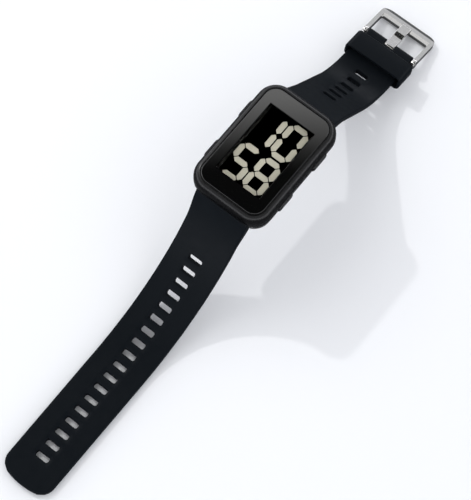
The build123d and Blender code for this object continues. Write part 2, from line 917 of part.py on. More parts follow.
def spring_bar_tube(half_length, radius, y, z):
    """The tube of a spring bar."""
    return rod(radius, -half_length, half_length, y, z)


def spring_bar_tips(tube_half, reach, radius, shoulder_radius, y, z):
    """The two sprung tips of a spring bar, each with its shoulder against the tube."""
    shoulder_end = tube_half + bar_shoulder / 2
    tips = []
    for side in (-1, 1):
        neck = sorted((side * tube_half, side * shoulder_end))
        tip = sorted((side * tube_half, side * reach))
        tips.append(rod(shoulder_radius, neck[0], neck[1], y, z) + rod(radius, tip[0], tip[1], y, z))
    return Compound(children=tips)


def long_spans():
    """The top line of the long half: one even bend down to the table, then flat."""
    start_y = pin_y + knuckle_radius * long_facing[0]
    start_z = pin_z + knuckle_radius * long_facing[1]
    down = bend(start_y, start_z, long_root_angle, long_bend_radius, long_root_angle)
    end_y, end_z, slope = on_span(down, down["length"])
    total = long_first_slot_place + (long_slot_count - 1) * slot_pitch + long_tip_margin
    return [down, straight(end_y, end_z, 0, total - down["length"])]


def short_spans():
    """The top line of the short half: straight, bent, then straight to the buckle's pin."""
    start_y = pin_y + knuckle_radius * short_facing[0]
    first = straight(start_y, short_start_z, short_root_angle, short_straight)
    y, z, slope = on_span(first, first["length"])
    second = bend(y, z, slope, short_bend_radius, short_root_angle - short_end_angle)
    y, z, slope = on_span(second, second["length"])
    return [first, second, straight(y, z, short_end_angle, short_end_run)]


def long_plan():
    """Outline of the long half from above: flared head, slight taper, rounded tip."""
    spans = long_spans()
    end = on_line(spans, sum(span["length"] for span in spans))[0]
    flare_end = (strap_width / 2, -case_length / 2 - strap_flare_length)
    small = tip_corner_radius
    big = tip_crown_radius
    centre_x = strap_tip_width / 2 - small
    touch = math.acos(centre_x / (big - small))
    crown = (0, big - end)
    corner = on_circle(crown, big - small, touch)
    away = math.hypot(flare_end[0] - corner[0], flare_end[1] - corner[1])
    taper = math.atan2(flare_end[0] - corner[0], corner[1] - flare_end[1])
    taper = math.pi - taper - math.asin(small / away)
    edges = flare_edges(-1, taper)
    edges.append(Line(flare_end, on_circle(corner, small, taper)))
    turns = [taper, (taper + touch) / 2, touch]
    edges.append(ThreePointArc(*[on_circle(corner, small, turn) for turn in turns]))
    right_end = on_circle(corner, small, touch)
    tip = ThreePointArc(right_end, (0, -end), (-right_end[0], right_end[1]))
    return outline_face(edges, [level_line(edges[0] @ 0), tip])


def strap_long():
    """The six o'clock half of the strap, with its row of slots."""
    spans = long_spans()
    band = cut_to_plan(strap_profile(spans, -1), long_plan())
    band = rounded_top(band, spans, -1, sum(span["length"] for span in spans))
    for index in range(long_slot_count):
        band -= slot_tool(spans, -1, long_first_slot_place + index * slot_pitch)
    return band - rod(bar_radius + hole_gap, -strap_head_width, strap_head_width, -pin_y, pin_z)


def cut_to_plan(profile, plan):
    """The side view swept across the width, kept inside the outline from above."""
    band = extrude(Plane.YZ * profile, strap_head_width, both=True)
    return band & extrude(plan, base_z + case_height)


def buckle_pin_place():
    """Distance from the case's middle to the buckle's pin."""
    spans = short_spans()
    end = on_line(spans, sum(span["length"] for span in spans))
    return end[0] - buckle_knuckle_radius * end_facing[0]


def short_plan():
    """Outline of the short half from above: flared head, and shoulders where the buckle's arms go."""
    pin = buckle_pin_place()
    end = pin + buckle_knuckle_radius + overrun
    body = strap_width / 2
    neck = buckle_end_width / 2
    flare_end = case_length / 2 + strap_flare_length
    shoulder = pin - buckle_shoulder
    edges = flare_edges(1, 0)
    slant_end = shoulder + buckle_shoulder_slant
    edges += edge_line([(body, flare_end), (body, shoulder), (neck, slant_end), (neck, end)])
    return outline_face(edges, [level_line(edges[0] @ 0), level_line((neck, end))])


def strap_short():
    """The twelve o'clock half of the strap, with its slots, and a knuckle for the buckle's pin."""
    spans = short_spans()
    pin = buckle_pin_place()
    profile = strap_profile(spans, 1)
    profile += Pos(pin, buckle_pin_height) * Circle(buckle_knuckle_radius)
    band = cut_to_plan(profile, short_plan())
    total = sum(span["length"] for span in spans)
    band = rounded_top(band, spans, 1, total - buckle_shoulder)
    for index in range(short_slot_count):
        band -= slot_tool(spans, 1, short_first_slot_place + index * slot_pitch)
    band -= rod(bar_radius + hole_gap, -strap_head_width, strap_head_width, pin_y, pin_z)
    band -= rod(buckle_bar_radius + hole_gap, -strap_width, strap_width, pin, buckle_pin_height)
    half = tongue_width / 2 + tongue_gap
    inner = pin - tongue_eye_radius() - tongue_gap
    outer = pin + buckle_knuckle_radius + overrun
    return band - box_between((-half, half), (inner, outer), (0, 2 * buckle_pin_height))


def tongue_eye_radius():
    """Outer radius of the tongue's eye."""
    return buckle_bar_radius + hole_gap + tongue_eye_wall


def at_buckle(shape):
    """Moves a shape drawn round the pin, with Y towards the end bar, to the tilted buckle."""
    return Pos(0, buckle_pin_place(), buckle_pin_height) * Rot(-buckle_tilt, 0, 0) * shape


def buckle_frame():
    """The steel frame: two arms with eyes, and a wide end bar, bevelled inside and sloped outside."""
    window = buckle_window_length
    end = buckle_length
    top = buckle_half_height
    side_view = [
        (0, -top),
        (end - buckle_edge_bevel, -top),
        (end, -top + buckle_edge_bevel),
        (end, top - buckle_slope_drop),
        (end - buckle_slope_width, top),
        (0, top),
    ]
    profile = make_face(Polyline(*side_view, close=True)) + Circle(buckle_eye_radius)
    bar = extrude(Plane.YZ * profile, buckle_outer_width / 2, both=True)
    outline_length = buckle_length + buckle_eye_radius
    outline = Rectangle(buckle_outer_width, outline_length)
    corners = outline.vertices().group_by(Axis.Y)[-1]
    outline = fillet(corners, buckle_corner_radius)
    outline = Pos(0, (buckle_length - buckle_eye_radius) / 2) * outline
    opening_length = window + buckle_eye_radius + overrun
    opening = Rectangle(buckle_inner_width, opening_length)
    opening = fillet(opening.vertices().group_by(Axis.Y)[-1], buckle_window_radius)
    opening = Pos(0, window - opening_length / 2) * opening
    height = buckle_eye_radius + overrun
    frame = bar & (Pos(0, 0, -height) * extrude(outline, 2 * height))
    frame -= Pos(0, 0, -height) * extrude(opening, 2 * height)
    frame -= inner_bevel()
    groove = tongue_width / 2 + tongue_gap
    seat = tongue_bottom() - tongue_rest_gap
    groove_end = tongue_tip_place + tongue_gap
    frame -= box_between((-groove, groove), (window - overrun, groove_end), (seat, 2 * top))
    frame -= rod(buckle_tip_radius + hole_gap, -buckle_outer_width, buckle_outer_width, 0, 0)
    return at_buckle(frame)


def inner_bevel():
    """The cutter for the bright bevel along the inside of the end bar."""
    top = buckle_half_height
    start = buckle_window_length
    outline = [
        (start - overrun, top + overrun),
        (start + buckle_bevel_width, top + overrun),
        (start + buckle_bevel_width, top),
        (start, top - buckle_bevel_drop),
        (start - overrun, top - buckle_bevel_drop),
    ]
    half = buckle_inner_width / 2
    return extrude(Plane.YZ * make_face(Polyline(*outline, close=True)), half, both=True)


def tongue_bottom():
    """Height over the pin of the underside of the tongue's tip."""
    return buckle_half_height - tongue_thickness / 4


def buckle_tongue():
    """The pressed tongue: an eye round the pin, a valley, a joggle and a flat tip on the end bar."""
    eye = tongue_eye_radius()
    low = eye - tongue_valley_drop
    high = tongue_bottom() + tongue_thickness
    line = [
        (0, eye),
        (tongue_valley_place, low),
        (tongue_bend_start, low),
        (tongue_bend_end, high),
        (tongue_tip_place, high),
    ]
    under = [(u, w - tongue_thickness) for u, w in reversed(line)]
    blade = make_face(Polyline(*line, *under, close=True))
    blade = fillet(blade.vertices().filter_by(lambda v: tongue_valley_place <= v.X <= tongue_bend_end),
                   tongue_thickness / 2)
    profile = blade + Circle(eye)
    profile -= Circle(buckle_bar_radius + hole_gap)
    return at_buckle(extrude(Plane.YZ * profile, tongue_width / 2, both=True))


def keeper():
    """The loose rubber loop round the short half, with room for the tip of the long half."""
    spans = short_spans()
    total = sum(span["length"] for span in spans)
    inner_width = strap_width + 2 * keeper_side_gap
    inner_height = 2 * strap_thickness + keeper_spare
    depth = strap_thickness + keeper_under_gap - inner_height / 2
    y, z, slope = on_line(spans, total - keeper_from_pin, depth)
    way = heading(slope)
    place = Plane(origin=(keeper_side_shift, y, z), x_dir=(1, 0, 0), z_dir=(0, way[0], way[1]))
    outer_width = inner_width + 2 * keeper_wall
    outer_height = inner_height + 2 * keeper_wall
    outer = RectangleRounded(outer_width, outer_height, keeper_outer_radius)
    ring = outer - RectangleRounded(inner_width, inner_height, keeper_inner_radius)
    return extrude(place * ring, keeper_length / 2, both=True)


def build_all():
    """Every piece by its name, in the frame of the case."""
    long_half = strap_head_width / 2 - bar_shoulder
    buckle_half = buckle_end_width / 2 - bar_shoulder / 2
    pin = buckle_pin_place()
    pieces = {
        "case_body": case_body(),
        "crystal": crystal(),
        "crystal_gasket": crystal_gasket(),
        "dial_mask": dial_mask(),
        "lcd_front_polarizer": display_layer(0, front_glass_top, front_film_top, tray_gap),
        "lcd_front_glass": display_layer(0, cell_top, front_glass_top),
        "lcd_seal": lcd_seal(),
        "digit_segments": digit_segments(),
        "lcd_rear_glass": display_layer(contact_ledge, rear_glass_bottom, cell_bottom),
        "lcd_rear_polarizer": display_layer(contact_ledge, rear_film_bottom, rear_glass_bottom, tray_gap),
        "light_guide": display_layer(contact_ledge, tray_top_of_floor, rear_film_bottom, 0,
                                     led_size + tray_gap),
        "backlight_led": led_box(),
        "module_frame": module_frame(),
        "contact_strip_left": strip_box(-1, 0),
        "contact_strip_right": strip_box(1, 0),
        "circuit_board": circuit_board(),
        "chip_cover": chip_cover(),
        "quartz_can": quartz_can(),
        "battery": battery(),
        "battery_contact": battery_contact(),
        "battery_clip": battery_clip(),
        "sounder_disc": sounder_disc(),
        "sounder_spring": sounder_spring(),
        "case_back": case_back(),
        "case_back_gasket": back_gasket_ring(tray_gap / 8),
        "spring_bar_tube_long": spring_bar_tube(long_half, bar_radius, -pin_y, pin_z),
        "spring_bar_tube_short": spring_bar_tube(long_half, bar_radius, pin_y, pin_z),
        "spring_bar_tips_long": spring_bar_tips(long_half, tip_end() - hole_gap, bar_tip_radius,
                                                bar_radius - hole_gap, -pin_y, pin_z),
        "spring_bar_tips_short": spring_bar_tips(long_half, tip_end() - hole_gap, bar_tip_radius,
                                                 bar_radius - hole_gap, pin_y, pin_z),
        "strap_long": strap_long(),
        "strap_short": strap_short(),
        "keeper": keeper(),
        "buckle_bar_tube": spring_bar_tube(buckle_half, buckle_bar_radius, pin, buckle_pin_height),
        "buckle_bar_tips": spring_bar_tips(buckle_half, buckle_outer_width / 2 - hole_gap, buckle_tip_radius,
                                           buckle_bar_radius - hole_gap, pin, buckle_pin_height),
        "buckle_frame": buckle_frame(),
        "buckle_tongue": buckle_tongue(),
    }
    for side, place in button_places():
        hand = "right" if side > 0 else "left"
        level = "upper" if place > 0 else "lower"
        name = f"{hand}_{level}"
        pieces[f"button_{name}"] = button(side, place)
        pieces[f"button_clip_{name}"] = button_retainer(side, place)
        pieces[f"button_leaf_{name}"] = button_leaf(side, place)
        pieces[f"button_seal_{name}"] = button_seal(side, place)
    for number, (x, y) in enumerate(screw_places(), start=1):
        pieces[f"case_back_screw_{number}"] = case_back_screw(x, y)
    return pieces


pieces = build_all()
boxes = [shape.bounding_box() for shape in pieces.values()]
shift = -(min(box.min.Y for box in boxes) + max(box.max.Y for box in boxes)) / 2
for name, shape in pieces.items():
    export_step(Pos(0, shift, 0) * shape, f"parts/{name}.step")

print("pieces", len(pieces), "shift", round(shift, 4))
print("base", round(base_z, 4), "top", round(base_z + case_height, 4), "case height", round(case_height, 3))
print("case pins y", round(shift - pin_y, 4), round(shift + pin_y, 4), "z", round(pin_z, 4))
print("buckle pin y", round(shift + buckle_pin_place(), 4), "z", buckle_pin_height)
print("buckle tilt", round(buckle_tilt, 3))
print("button axis z", round(base_z + button_axis, 4), "short straight", round(short_straight, 3))
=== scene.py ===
# %% [markdown]
# # A digital watch, laid open on a white table
#
# The real object is a flat digital watch: a moulded resin case with a glass front, a slotted strap of
# soft resin in two halves, a loose keeper loop and a small steel buckle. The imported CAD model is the
# frame that everything is built around, so the first step loads it and keeps its size.

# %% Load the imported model
import bpy
import bmesh
import json
import math
from mathutils import Matrix, Vector


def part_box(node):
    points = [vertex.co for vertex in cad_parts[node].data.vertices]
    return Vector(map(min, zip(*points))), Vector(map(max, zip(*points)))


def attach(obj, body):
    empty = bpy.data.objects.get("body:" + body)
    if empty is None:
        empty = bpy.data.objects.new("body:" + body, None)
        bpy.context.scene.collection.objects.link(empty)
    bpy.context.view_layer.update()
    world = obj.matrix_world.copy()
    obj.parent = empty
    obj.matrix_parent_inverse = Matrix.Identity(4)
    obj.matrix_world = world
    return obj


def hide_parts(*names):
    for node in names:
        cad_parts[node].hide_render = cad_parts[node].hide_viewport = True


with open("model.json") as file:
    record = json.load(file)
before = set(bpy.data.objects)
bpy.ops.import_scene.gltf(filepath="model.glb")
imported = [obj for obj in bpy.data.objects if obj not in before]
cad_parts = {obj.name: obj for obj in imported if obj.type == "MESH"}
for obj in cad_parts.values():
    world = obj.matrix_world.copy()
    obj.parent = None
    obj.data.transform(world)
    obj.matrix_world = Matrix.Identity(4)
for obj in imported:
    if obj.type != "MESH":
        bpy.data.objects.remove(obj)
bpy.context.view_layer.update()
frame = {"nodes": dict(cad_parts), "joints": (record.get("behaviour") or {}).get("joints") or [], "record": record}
MM = 0.001  # lengths below are in mm and angles in degrees, unless a comment says otherwise
nodes = frame["nodes"]
joints = {joint["name"]: joint for joint in frame["joints"]}

# %% [markdown]
# ## Colours and shader nodes
#
# Colours are written as sRGB hex values, as a colour picker shows them. The renderer works with linear
# light, so one function turns a hex value into linear numbers. A second function adds one node with its
# settings and its links, and every material below is made with it. Patterns lie on Object coordinates and
# take their scale from a real size, so that a grain is as fine on a button as on the strap.

# %% Helpers for materials
def linear(hex_code):
    """Linear RGBA of an sRGB hex colour."""
    channels = [int(hex_code[place:place + 2], 16) / 255 for place in (1, 3, 5)]
    return [c / 12.92 if c <= 0.04045 else ((c + 0.055) / 1.055) ** 2.4 for c in channels] + [1.0]


def add_node(tree, kind, links=None, **settings):
    """Adds a node. Settings name its properties, or its input sockets in capitals as the node shows them."""
    node = tree.nodes.new(kind)
    for name, value in settings.items():
        if hasattr(node, name):
            setattr(node, name, value)
        else:
            node.inputs[name.replace("_", " ")].default_value = value
    for socket, source in (links or {}).items():
        tree.links.new(source, node.inputs[socket])
    return node


def new_material(name, sockets):
    """A material with a Principled shader, whose sockets are set to constants."""
    material = bpy.data.materials.new(name)
    material.use_nodes = True
    shader = material.node_tree.nodes["Principled BSDF"]
    for socket, value in sockets.items():
        shader.inputs[socket].default_value = value
    return material, material.node_tree, shader


def object_point(tree, scale=(1, 1, 1)):
    """Object coordinates, stretched along each axis."""
    place = add_node(tree, "ShaderNodeTexCoord")
    return add_node(tree, "ShaderNodeMapping", {"Vector": place.outputs["Object"]}, Scale=scale).outputs[0]


def grain(tree, size_mm, detail=3.0, scale=(1, 1, 1)):
    """A noise whose features are about as large as a real size in millimetres."""
    return add_node(tree, "ShaderNodeTexNoise", {"Vector": object_point(tree, scale)},
                    Scale=1 / (size_mm * MM), Detail=detail).outputs["Fac"]


def spread(tree, value, low, high):
    """Turns a noise, which seldom leaves the range from 0.3 to 0.7, into a number between low and high."""
    return add_node(tree, "ShaderNodeMapRange", {"Value": value}, From_Min=0.3, From_Max=0.7,
                    To_Min=low, To_Max=high).outputs["Result"]


def bump(tree, shader, height, depth_mm, strength=1.0):
    """A bump of a real depth."""
    node = add_node(tree, "ShaderNodeBump", {"Height": height}, Strength=strength, Distance=depth_mm * MM)
    tree.links.new(node.outputs["Normal"], shader.inputs["Normal"])


def tinted(tree, shader, value, dark, light):
    """Base colour between two hex colours, by a value from 0 to 1."""
    mix = add_node(tree, "ShaderNodeMix", {"Factor": value}, data_type="RGBA")
    color_in = [socket for socket in mix.inputs if socket.type == "RGBA"]
    color_in[0].default_value = linear(dark)
    color_in[1].default_value = linear(light)
    color_out = [socket for socket in mix.outputs if socket.type == "RGBA"]
    tree.links.new(color_out[0], shader.inputs["Base Color"])


print("the hex grey #808080 is", round(linear("#808080")[0], 3), "in linear light")

# %% [markdown]
# ## The black parts
#
# The case is moulded resin with a satin polish: dark, with broad soft highlights on its rounded rim.
# The strap is softer resin rubber with a matt moulded skin, so its highlights are wide and weak, and it
# is very slightly blue. Both get a grain that breaks up the reflections. The grain of a real mould is
# too fine to show, so it is drawn 0.2 to 0.5 mm coarse.

# %% Case and strap materials
def case_resin():
    """Moulded resin, satin: the polish of the mould gives soft clear highlights."""
    material, tree, shader = new_material("moulded_case_resin",
                                          {"Roughness": 0.28, "Specular IOR Level": 0.32})
    tinted(tree, shader, grain(tree, 0.35), "#040405", "#080809")
    tree.links.new(spread(tree, grain(tree, 1.2), 0.22, 0.32), shader.inputs["Roughness"])
    bump(tree, shader, grain(tree, 0.3), 0.0015)
    return material


def strap_rubber():
    """Moulded resin rubber, matt: a fine skin that scatters most of the light."""
    material, tree, shader = new_material("matt_strap_rubber", {"Roughness": 0.4, "Specular IOR Level": 0.06})
    tinted(tree, shader, grain(tree, 0.5, 6.0), "#0c1013", "#11151a")
    tree.links.new(spread(tree, grain(tree, 3.0), 0.34, 0.46), shader.inputs["Roughness"])
    bump(tree, shader, grain(tree, 0.2, 4.0), 0.008)
    return material


def tray_plastic():
    """Matt black plastic of the parts inside the case: a dull grey black that mirrors nothing."""
    material, tree, shader = new_material("matt_black_plastic", {"Roughness": 0.7})
    tinted(tree, shader, grain(tree, 0.6), "#1b1c1d", "#242526")
    bump(tree, shader, grain(tree, 0.2), 0.008)
    return material


# %% [markdown]
# ## Glass and display
#
# The front is mineral glass with a black print on its back and a clear window in the print. Glass and
# print are one surface here: a black mirror, with an alpha of 0 where the window is. A refracting glass
# over the layers of a display would turn grainy, and this way stays clean. Behind the window lie a thin
# clear slab, the pale segments, a rear glass and a dark film. Each is a piece of its own, so the depth
# under the glass comes by itself.

# %% Glass and display materials
window_size = (18.3, 29.0)  # across and along


def printed_glass():
    """Polished mineral glass, printed black round the display window and clear inside it.

    The print lies so close under the surface that the eye sees one black mirror, which shows the dark
    and bright parts of the room. Both faces mirror together, so the level is twice that of one face.
    """
    material, tree, shader = new_material("printed_mineral_glass",
                                          {"Roughness": 0.03, "Specular IOR Level": 1.0})
    tinted(tree, shader, grain(tree, 0.4), "#050505", "#080808")
    low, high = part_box("crystal")
    middle = [(low[axis] + high[axis]) / 2 for axis in range(2)]
    place = add_node(tree, "ShaderNodeSeparateXYZ", {"Vector": object_point(tree)})
    outside = []
    for axis in range(2):
        off = add_node(tree, "ShaderNodeMath", {0: place.outputs[axis]}, operation="SUBTRACT")
        off.inputs[1].default_value = middle[axis]
        size = add_node(tree, "ShaderNodeMath", {0: off.outputs[0]}, operation="ABSOLUTE")
        past = add_node(tree, "ShaderNodeMath", {0: size.outputs[0]}, operation="GREATER_THAN")
        past.inputs[1].default_value = window_size[axis] / 2 * MM
        outside.append(past.outputs[0])
    printed = add_node(tree, "ShaderNodeMath", dict(enumerate(outside)), operation="MAXIMUM")
    tree.links.new(printed.outputs[0], shader.inputs["Alpha"])
    return material


def thin_clear():
    """The display's own thin glass, cemented to its film: clear, with no mirror of its own."""
    material, _, shader = new_material("thin_display_glass",
                                       {"Roughness": 0.0, "IOR": 1.0, "Transmission Weight": 1.0})
    shader.inputs["Base Color"].default_value = linear("#f6f6f2")
    return material


def printed_black():
    """Black print round the display: even and dull, so that the window's edge stays quiet."""
    material, tree, shader = new_material("black_print", {"Roughness": 0.5, "Specular IOR Level": 0.1})
    tinted(tree, shader, grain(tree, 0.4), "#080808", "#0b0b0b")
    return material


def display_film():
    """The dark film behind the display: a warm black that takes no highlight."""
    material, tree, shader = new_material("dark_display_film", {"Roughness": 0.5, "Specular IOR Level": 0.04})
    tinted(tree, shader, grain(tree, 0.25), "#15130e", "#181610")
    return material


def segment_paint():
    """The lit segments: pale and matt, a little warmer than grey, so that they read at any angle."""
    material, tree, shader = new_material("pale_segments", {"Roughness": 0.75})
    tinted(tree, shader, grain(tree, 0.3), "#c9c5b6", "#d4d0c2")
    return material


# %% [markdown]
# ## Metals and the small parts
#
# The buckle is stamped stainless steel, brushed along its bar and polished on its bevels. The battery,
# clips and springs inside are plated or bare metal. A metal keeps the default index of refraction and
# takes its look from its colour, its roughness and the direction of its brushing.

# %% Metal materials
brush_mm = 1.6  # length of a brush line


def brushed_steel(name, dark, light, rough_low, rough_high, along=(1, 12, 12), depth_mm=0.01):
    """Steel with fine brush lines along X: they draw its highlight out across the lines.

    A real brush line is too fine to show here, so the lines are drawn about 0.13 mm wide.
    """
    material, tree, shader = new_material(name, {"Metallic": 1.0, "Roughness": 0.25})
    lines = grain(tree, brush_mm, detail=6.0, scale=along)
    tinted(tree, shader, lines, dark, light)
    tree.links.new(spread(tree, lines, rough_low, rough_high), shader.inputs["Roughness"])
    bump(tree, shader, lines, depth_mm, strength=0.6)
    return material


def plain_surface(name, dark, light, roughness, grain_mm=0.5):
    """A small part: two close colours in a fine grain, and a bump that only breaks up its highlight."""
    material, tree, shader = new_material(name, {"Roughness": roughness})
    fine = grain(tree, grain_mm)
    tinted(tree, shader, fine, dark, light)
    bump(tree, shader, fine, depth_mm=0.006)
    return material


# What the inner ones give the eye: seals stay dull, the light guide is milky, the board a deep green
# satin, the epoxy drop shines, the cell is a pale mirror and the contacts are warm yellow metal.
finishes = {
    "case_black": case_resin(),
    "crystal": printed_glass(),
    "mask_black": printed_black(),
    "seal_rubber": plain_surface("soft_seal_rubber", "#1a1a1a", "#232323", 0.8),
    "lcd_glass": thin_clear(),
    "polarizer": display_film(),
    "segments": segment_paint(),
    "light_guide": plain_surface("milky_acrylic", "#c8cbc6", "#d4d7d2", 0.35),
    "tray_plastic": tray_plastic(),
    "board_green": plain_surface("solder_mask", "#12351f", "#184628", 0.35, grain_mm=1.0),
    "epoxy": plain_surface("black_epoxy", "#0b0b0b", "#121212", 0.15, grain_mm=2.0),
    "cell_steel": brushed_steel("nickelled_steel", "#a9a8a2", "#bdbcb6", 0.25, 0.4, (1, 1, 1), 0.004),
    "contact_brass": brushed_steel("plated_brass", "#b08a3e", "#c9a458", 0.25, 0.4),
    "back_resin": tray_plastic(),
    "screw_steel": brushed_steel("turned_steel", "#8c8c8c", "#a3a3a3", 0.25, 0.4),
    "strap_rubber": strap_rubber(),
    "buckle_steel": brushed_steel("brushed_stainless_steel", "#bbbab8", "#d6d5d3", 0.1, 0.2, depth_mm=0.005),
}
slot_names = {piece["node"]: piece["material_slot"] for piece in frame["record"]["subparts"]}
for name, node in nodes.items():
    node.data.materials.clear()
    node.data.materials.append(finishes[slot_names[name]])
print("materials", len(finishes))

# %% [markdown]
# ## The line that a strap half follows
#
# Each strap half is moulded flat and bends down from the case to the table. So a half is first made flat,
# with its length along Y, and then laid along a curve: a bend and a straight for the long half, and a
# straight, a bend and a straight for the short one. Making it flat first keeps the slots square to the
# rubber all the way down, which is how they are moulded.

# %% Top lines of the two strap halves
pin_radius = 1.9  # of the round root at the case
strap_thickness = 2.2
head_half_width = 10.5
strap_half_width = 10.0
flare_length = 10.0
case_half_length = 23.05
end_pin = Vector(joints["buckle_frame_hinge"]["pos_m"]) / MM
long_pin = Vector(joints["strap_long_hinge"]["pos_m"]) / MM
short_pin = Vector(joints["strap_short_hinge"]["pos_m"]) / MM
case_y = (long_pin.y + short_pin.y) / 2
pin_y = (short_pin.y - long_pin.y) / 2
flare_start = case_half_length - pin_y
line_overlap = 4.0  # length of line before the pin, for the round root


def top_line(name, side, slope, spans, step=0.5):
    """A curve along a half's top face: spans of (length, radius), with a radius of 0 for a straight."""
    angle = math.radians(slope)
    y = pin_y + pin_radius * math.sin(angle) - line_overlap * math.cos(angle)
    z = long_pin.z + pin_radius * math.cos(angle) + line_overlap * math.sin(angle)
    points = [(y, z)]
    for length, radius in [(line_overlap, 0)] + spans:
        count = max(1, round(length / step))
        for _ in range(count):
            turn = length / count / radius if radius else 0.0
            y += length / count * math.cos(angle - turn / 2)
            z -= length / count * math.sin(angle - turn / 2)
            angle -= turn
            points.append((y, z))
    curve = bpy.data.curves.new(name, "CURVE")
    curve.dimensions = "3D"
    spline = curve.splines.new("POLY")
    spline.points.add(len(points) - 1)
    for place, (y, z) in zip(spline.points, points):
        place.co = (0, (case_y + side * y) * MM, z * MM, 1)
    line = bpy.data.objects.new(name, curve)
    bpy.context.scene.collection.objects.link(line)
    print(name, "ends at y", round(y, 2), "z", round(z, 2), "mm")
    return line


# %% The long and the short line
long_slope = 64.3
long_bend = 61.1  # radius
slot_pitch = 4.925
long_slots = 18
long_first_slot = 23.4
long_last_run = 11.45  # from the last slot to the tip
long_spare = 1  # line past the tip
long_length = long_first_slot + (long_slots - 1) * slot_pitch + long_last_run
long_turn = long_bend * math.radians(long_slope)
long_line = top_line("long_line", -1, long_slope,
                     [(long_turn, long_bend), (long_length - long_turn + long_spare, 0)])

short_slope = 45.3
end_slope = 10.0
short_bend = 28.5  # radius
short_end = 13.6  # straight length up to the buckle's bar
short_spare = 3  # line past the bar, for the knuckle
end_pin_radius = 1.7
short_slots = 6
short_first_slot = 18.5
fall = short_bend * (math.cos(math.radians(end_slope)) - math.cos(math.radians(short_slope)))
fall += short_end * math.sin(math.radians(end_slope))
top_drop = pin_radius * math.cos(math.radians(short_slope))
top_drop -= end_pin_radius * math.cos(math.radians(end_slope))
short_straight = (short_pin.z - end_pin.z + top_drop - fall) / math.sin(math.radians(short_slope))
short_turn = short_bend * math.radians(short_slope - end_slope)
short_length = short_straight + short_turn + short_end
short_line = top_line("short_line", 1, short_slope,
                      [(short_straight, 0), (short_turn, short_bend), (short_end + short_spare, 0)])

# %% [markdown]
# ## One slot, and the flat band round it
#
# The moulding has a row of equal slots, so one slot with the rubber round it is made once, as a cell as
# long as the pitch, and the band gets a gap that the cells fill. The cell's border has the same points as
# the gap's, so merging by distance makes one closed skin. Slot and band have rounded rims, because rubber
# leaves the mould with soft edges, and that is where it catches the light.

# %% A slot cell
cell_columns = [4.0, 2.9, 2.1, 1.1, 0.0, -1.1, -2.1, -2.9, -4.0]
cell_rows = [-slot_pitch / 2, -1.35, -0.8, 0.0, 0.8, 1.35, slot_pitch / 2]
slot_half_width = 2.6
slot_half_length = 1.0
slot_corner = 0.65
slot_rim = 0.2
quarter_steps = 4  # points between a slot's side and its end, on the corner's arc


def slot_ring(grow):
    """Points round a slot whose edge is moved outwards, in the order of the cell's border."""
    inner_x = slot_half_width - slot_corner
    inner_y = slot_half_length - slot_corner
    radius = slot_corner + grow
    arc = [math.radians(90 / quarter_steps * step) for step in range(quarter_steps + 1)]
    quarter = [(inner_x + radius * math.cos(turn), inner_y + radius * math.sin(turn)) for turn in arc]
    right = [(x, -y) for x, y in quarter[2::-1]] + [(slot_half_width + grow, 0.0)] + quarter[:3]
    top = quarter[3:] + [(cell_columns[place], slot_half_length + grow) for place in (3, 4, 5)]
    top += [(-x, y) for x, y in quarter[:2:-1]]
    return right + top + [(-x, -y) for x, y in right] + [(-x, -y) for x, y in top]


def cell_border():
    """Points round the cell, one for each point of the slot's ring."""
    edge = cell_columns[0]
    right = [(edge, row) for row in cell_rows]
    top = [(column, cell_rows[-1]) for column in cell_columns[1:-1]]
    return right + top + [(-x, -y) for x, y in right] + [(-x, -y) for x, y in top]


def mesh_object(name, mesh_data):
    """A new object from a bmesh, with smooth faces."""
    for face in mesh_data.faces:
        face.smooth = True
    mesh = bpy.data.meshes.new(name)
    mesh_data.to_mesh(mesh)
    mesh_data.free()
    item = bpy.data.objects.new(name, mesh)
    bpy.context.scene.collection.objects.link(item)
    return item


def slot_cell():
    """The rubber round one slot, as a closed strip of rings from the top border to the bottom one."""
    build = bmesh.new()
    eased = slot_rim * (1 - math.sin(math.radians(45)))
    depths = [(slot_rim, 0.0), (eased, -eased), (0.0, -slot_rim)]
    depths += [(grow, -strap_thickness - height) for grow, height in reversed(depths)]
    rings = [[(x, y, 0.0) for x, y in cell_border()]]
    rings += [[(x, y, height) for x, y in slot_ring(grow)] for grow, height in depths]
    rings.append([(x, y, -strap_thickness) for x, y in cell_border()])
    skin = [[build.verts.new(Vector(point) * MM) for point in ring] for ring in rings]
    for upper, lower in zip(skin, skin[1:]):
        for place in range(len(upper)):
            after = (place + 1) % len(upper)
            build.faces.new((upper[place], upper[after], lower[after], lower[place]))
    return mesh_object("slot_cell", build)


cell = slot_cell()
print("slot cell faces", len(cell.data.polygons))

# %% [markdown]
# ## The flat band
#
# The band itself is a grid of rows across the strap. Each row knows its half width and the heights of its
# top and bottom, so the same function makes the thick root at the case, the even middle and the ends. Its
# side is a rounded rim, which is wider on top, as the mould parts near the lower face.

# %% The flat band
edge_rim = 0.45
under_rim = 0.3
rim_share = 0.45  # of the band's height, at most
rim_turns = (0, 30, 60, 90)
root_turns = (90, 80, 65, 50, 35, 20, 10)
flare_rows = 16
end_step = 1.5
thinning_length = 12.0


def band_rows(first_slot, slots, length):
    """Places along a half: the round root, even steps, and the rows that the slot cells need."""
    rows = [-pin_radius * math.sin(math.radians(turn)) for turn in root_turns]
    start = first_slot - slot_pitch / 2
    rows += [start * step / flare_rows for step in range(flare_rows)]
    for slot in range(slots):
        rows += [first_slot + slot * slot_pitch + row for row in cell_rows[:-1]]
    end = first_slot + (slots - 0.5) * slot_pitch
    count = max(2, round((length - end) / end_step))
    rows += [end + (length - end) * step / count for step in range(count + 1)]
    return rows


def root_heights(along):
    """Heights of the top and bottom faces under the top line: round at the pin, then thinning."""
    if along < 0:
        reach = math.sqrt(max(pin_radius ** 2 - along ** 2, 0.0))
        return reach - pin_radius, -reach - pin_radius
    share = min(along / thinning_length, 1.0)
    return 0.0, -2 * pin_radius + (2 * pin_radius - strap_thickness) * share


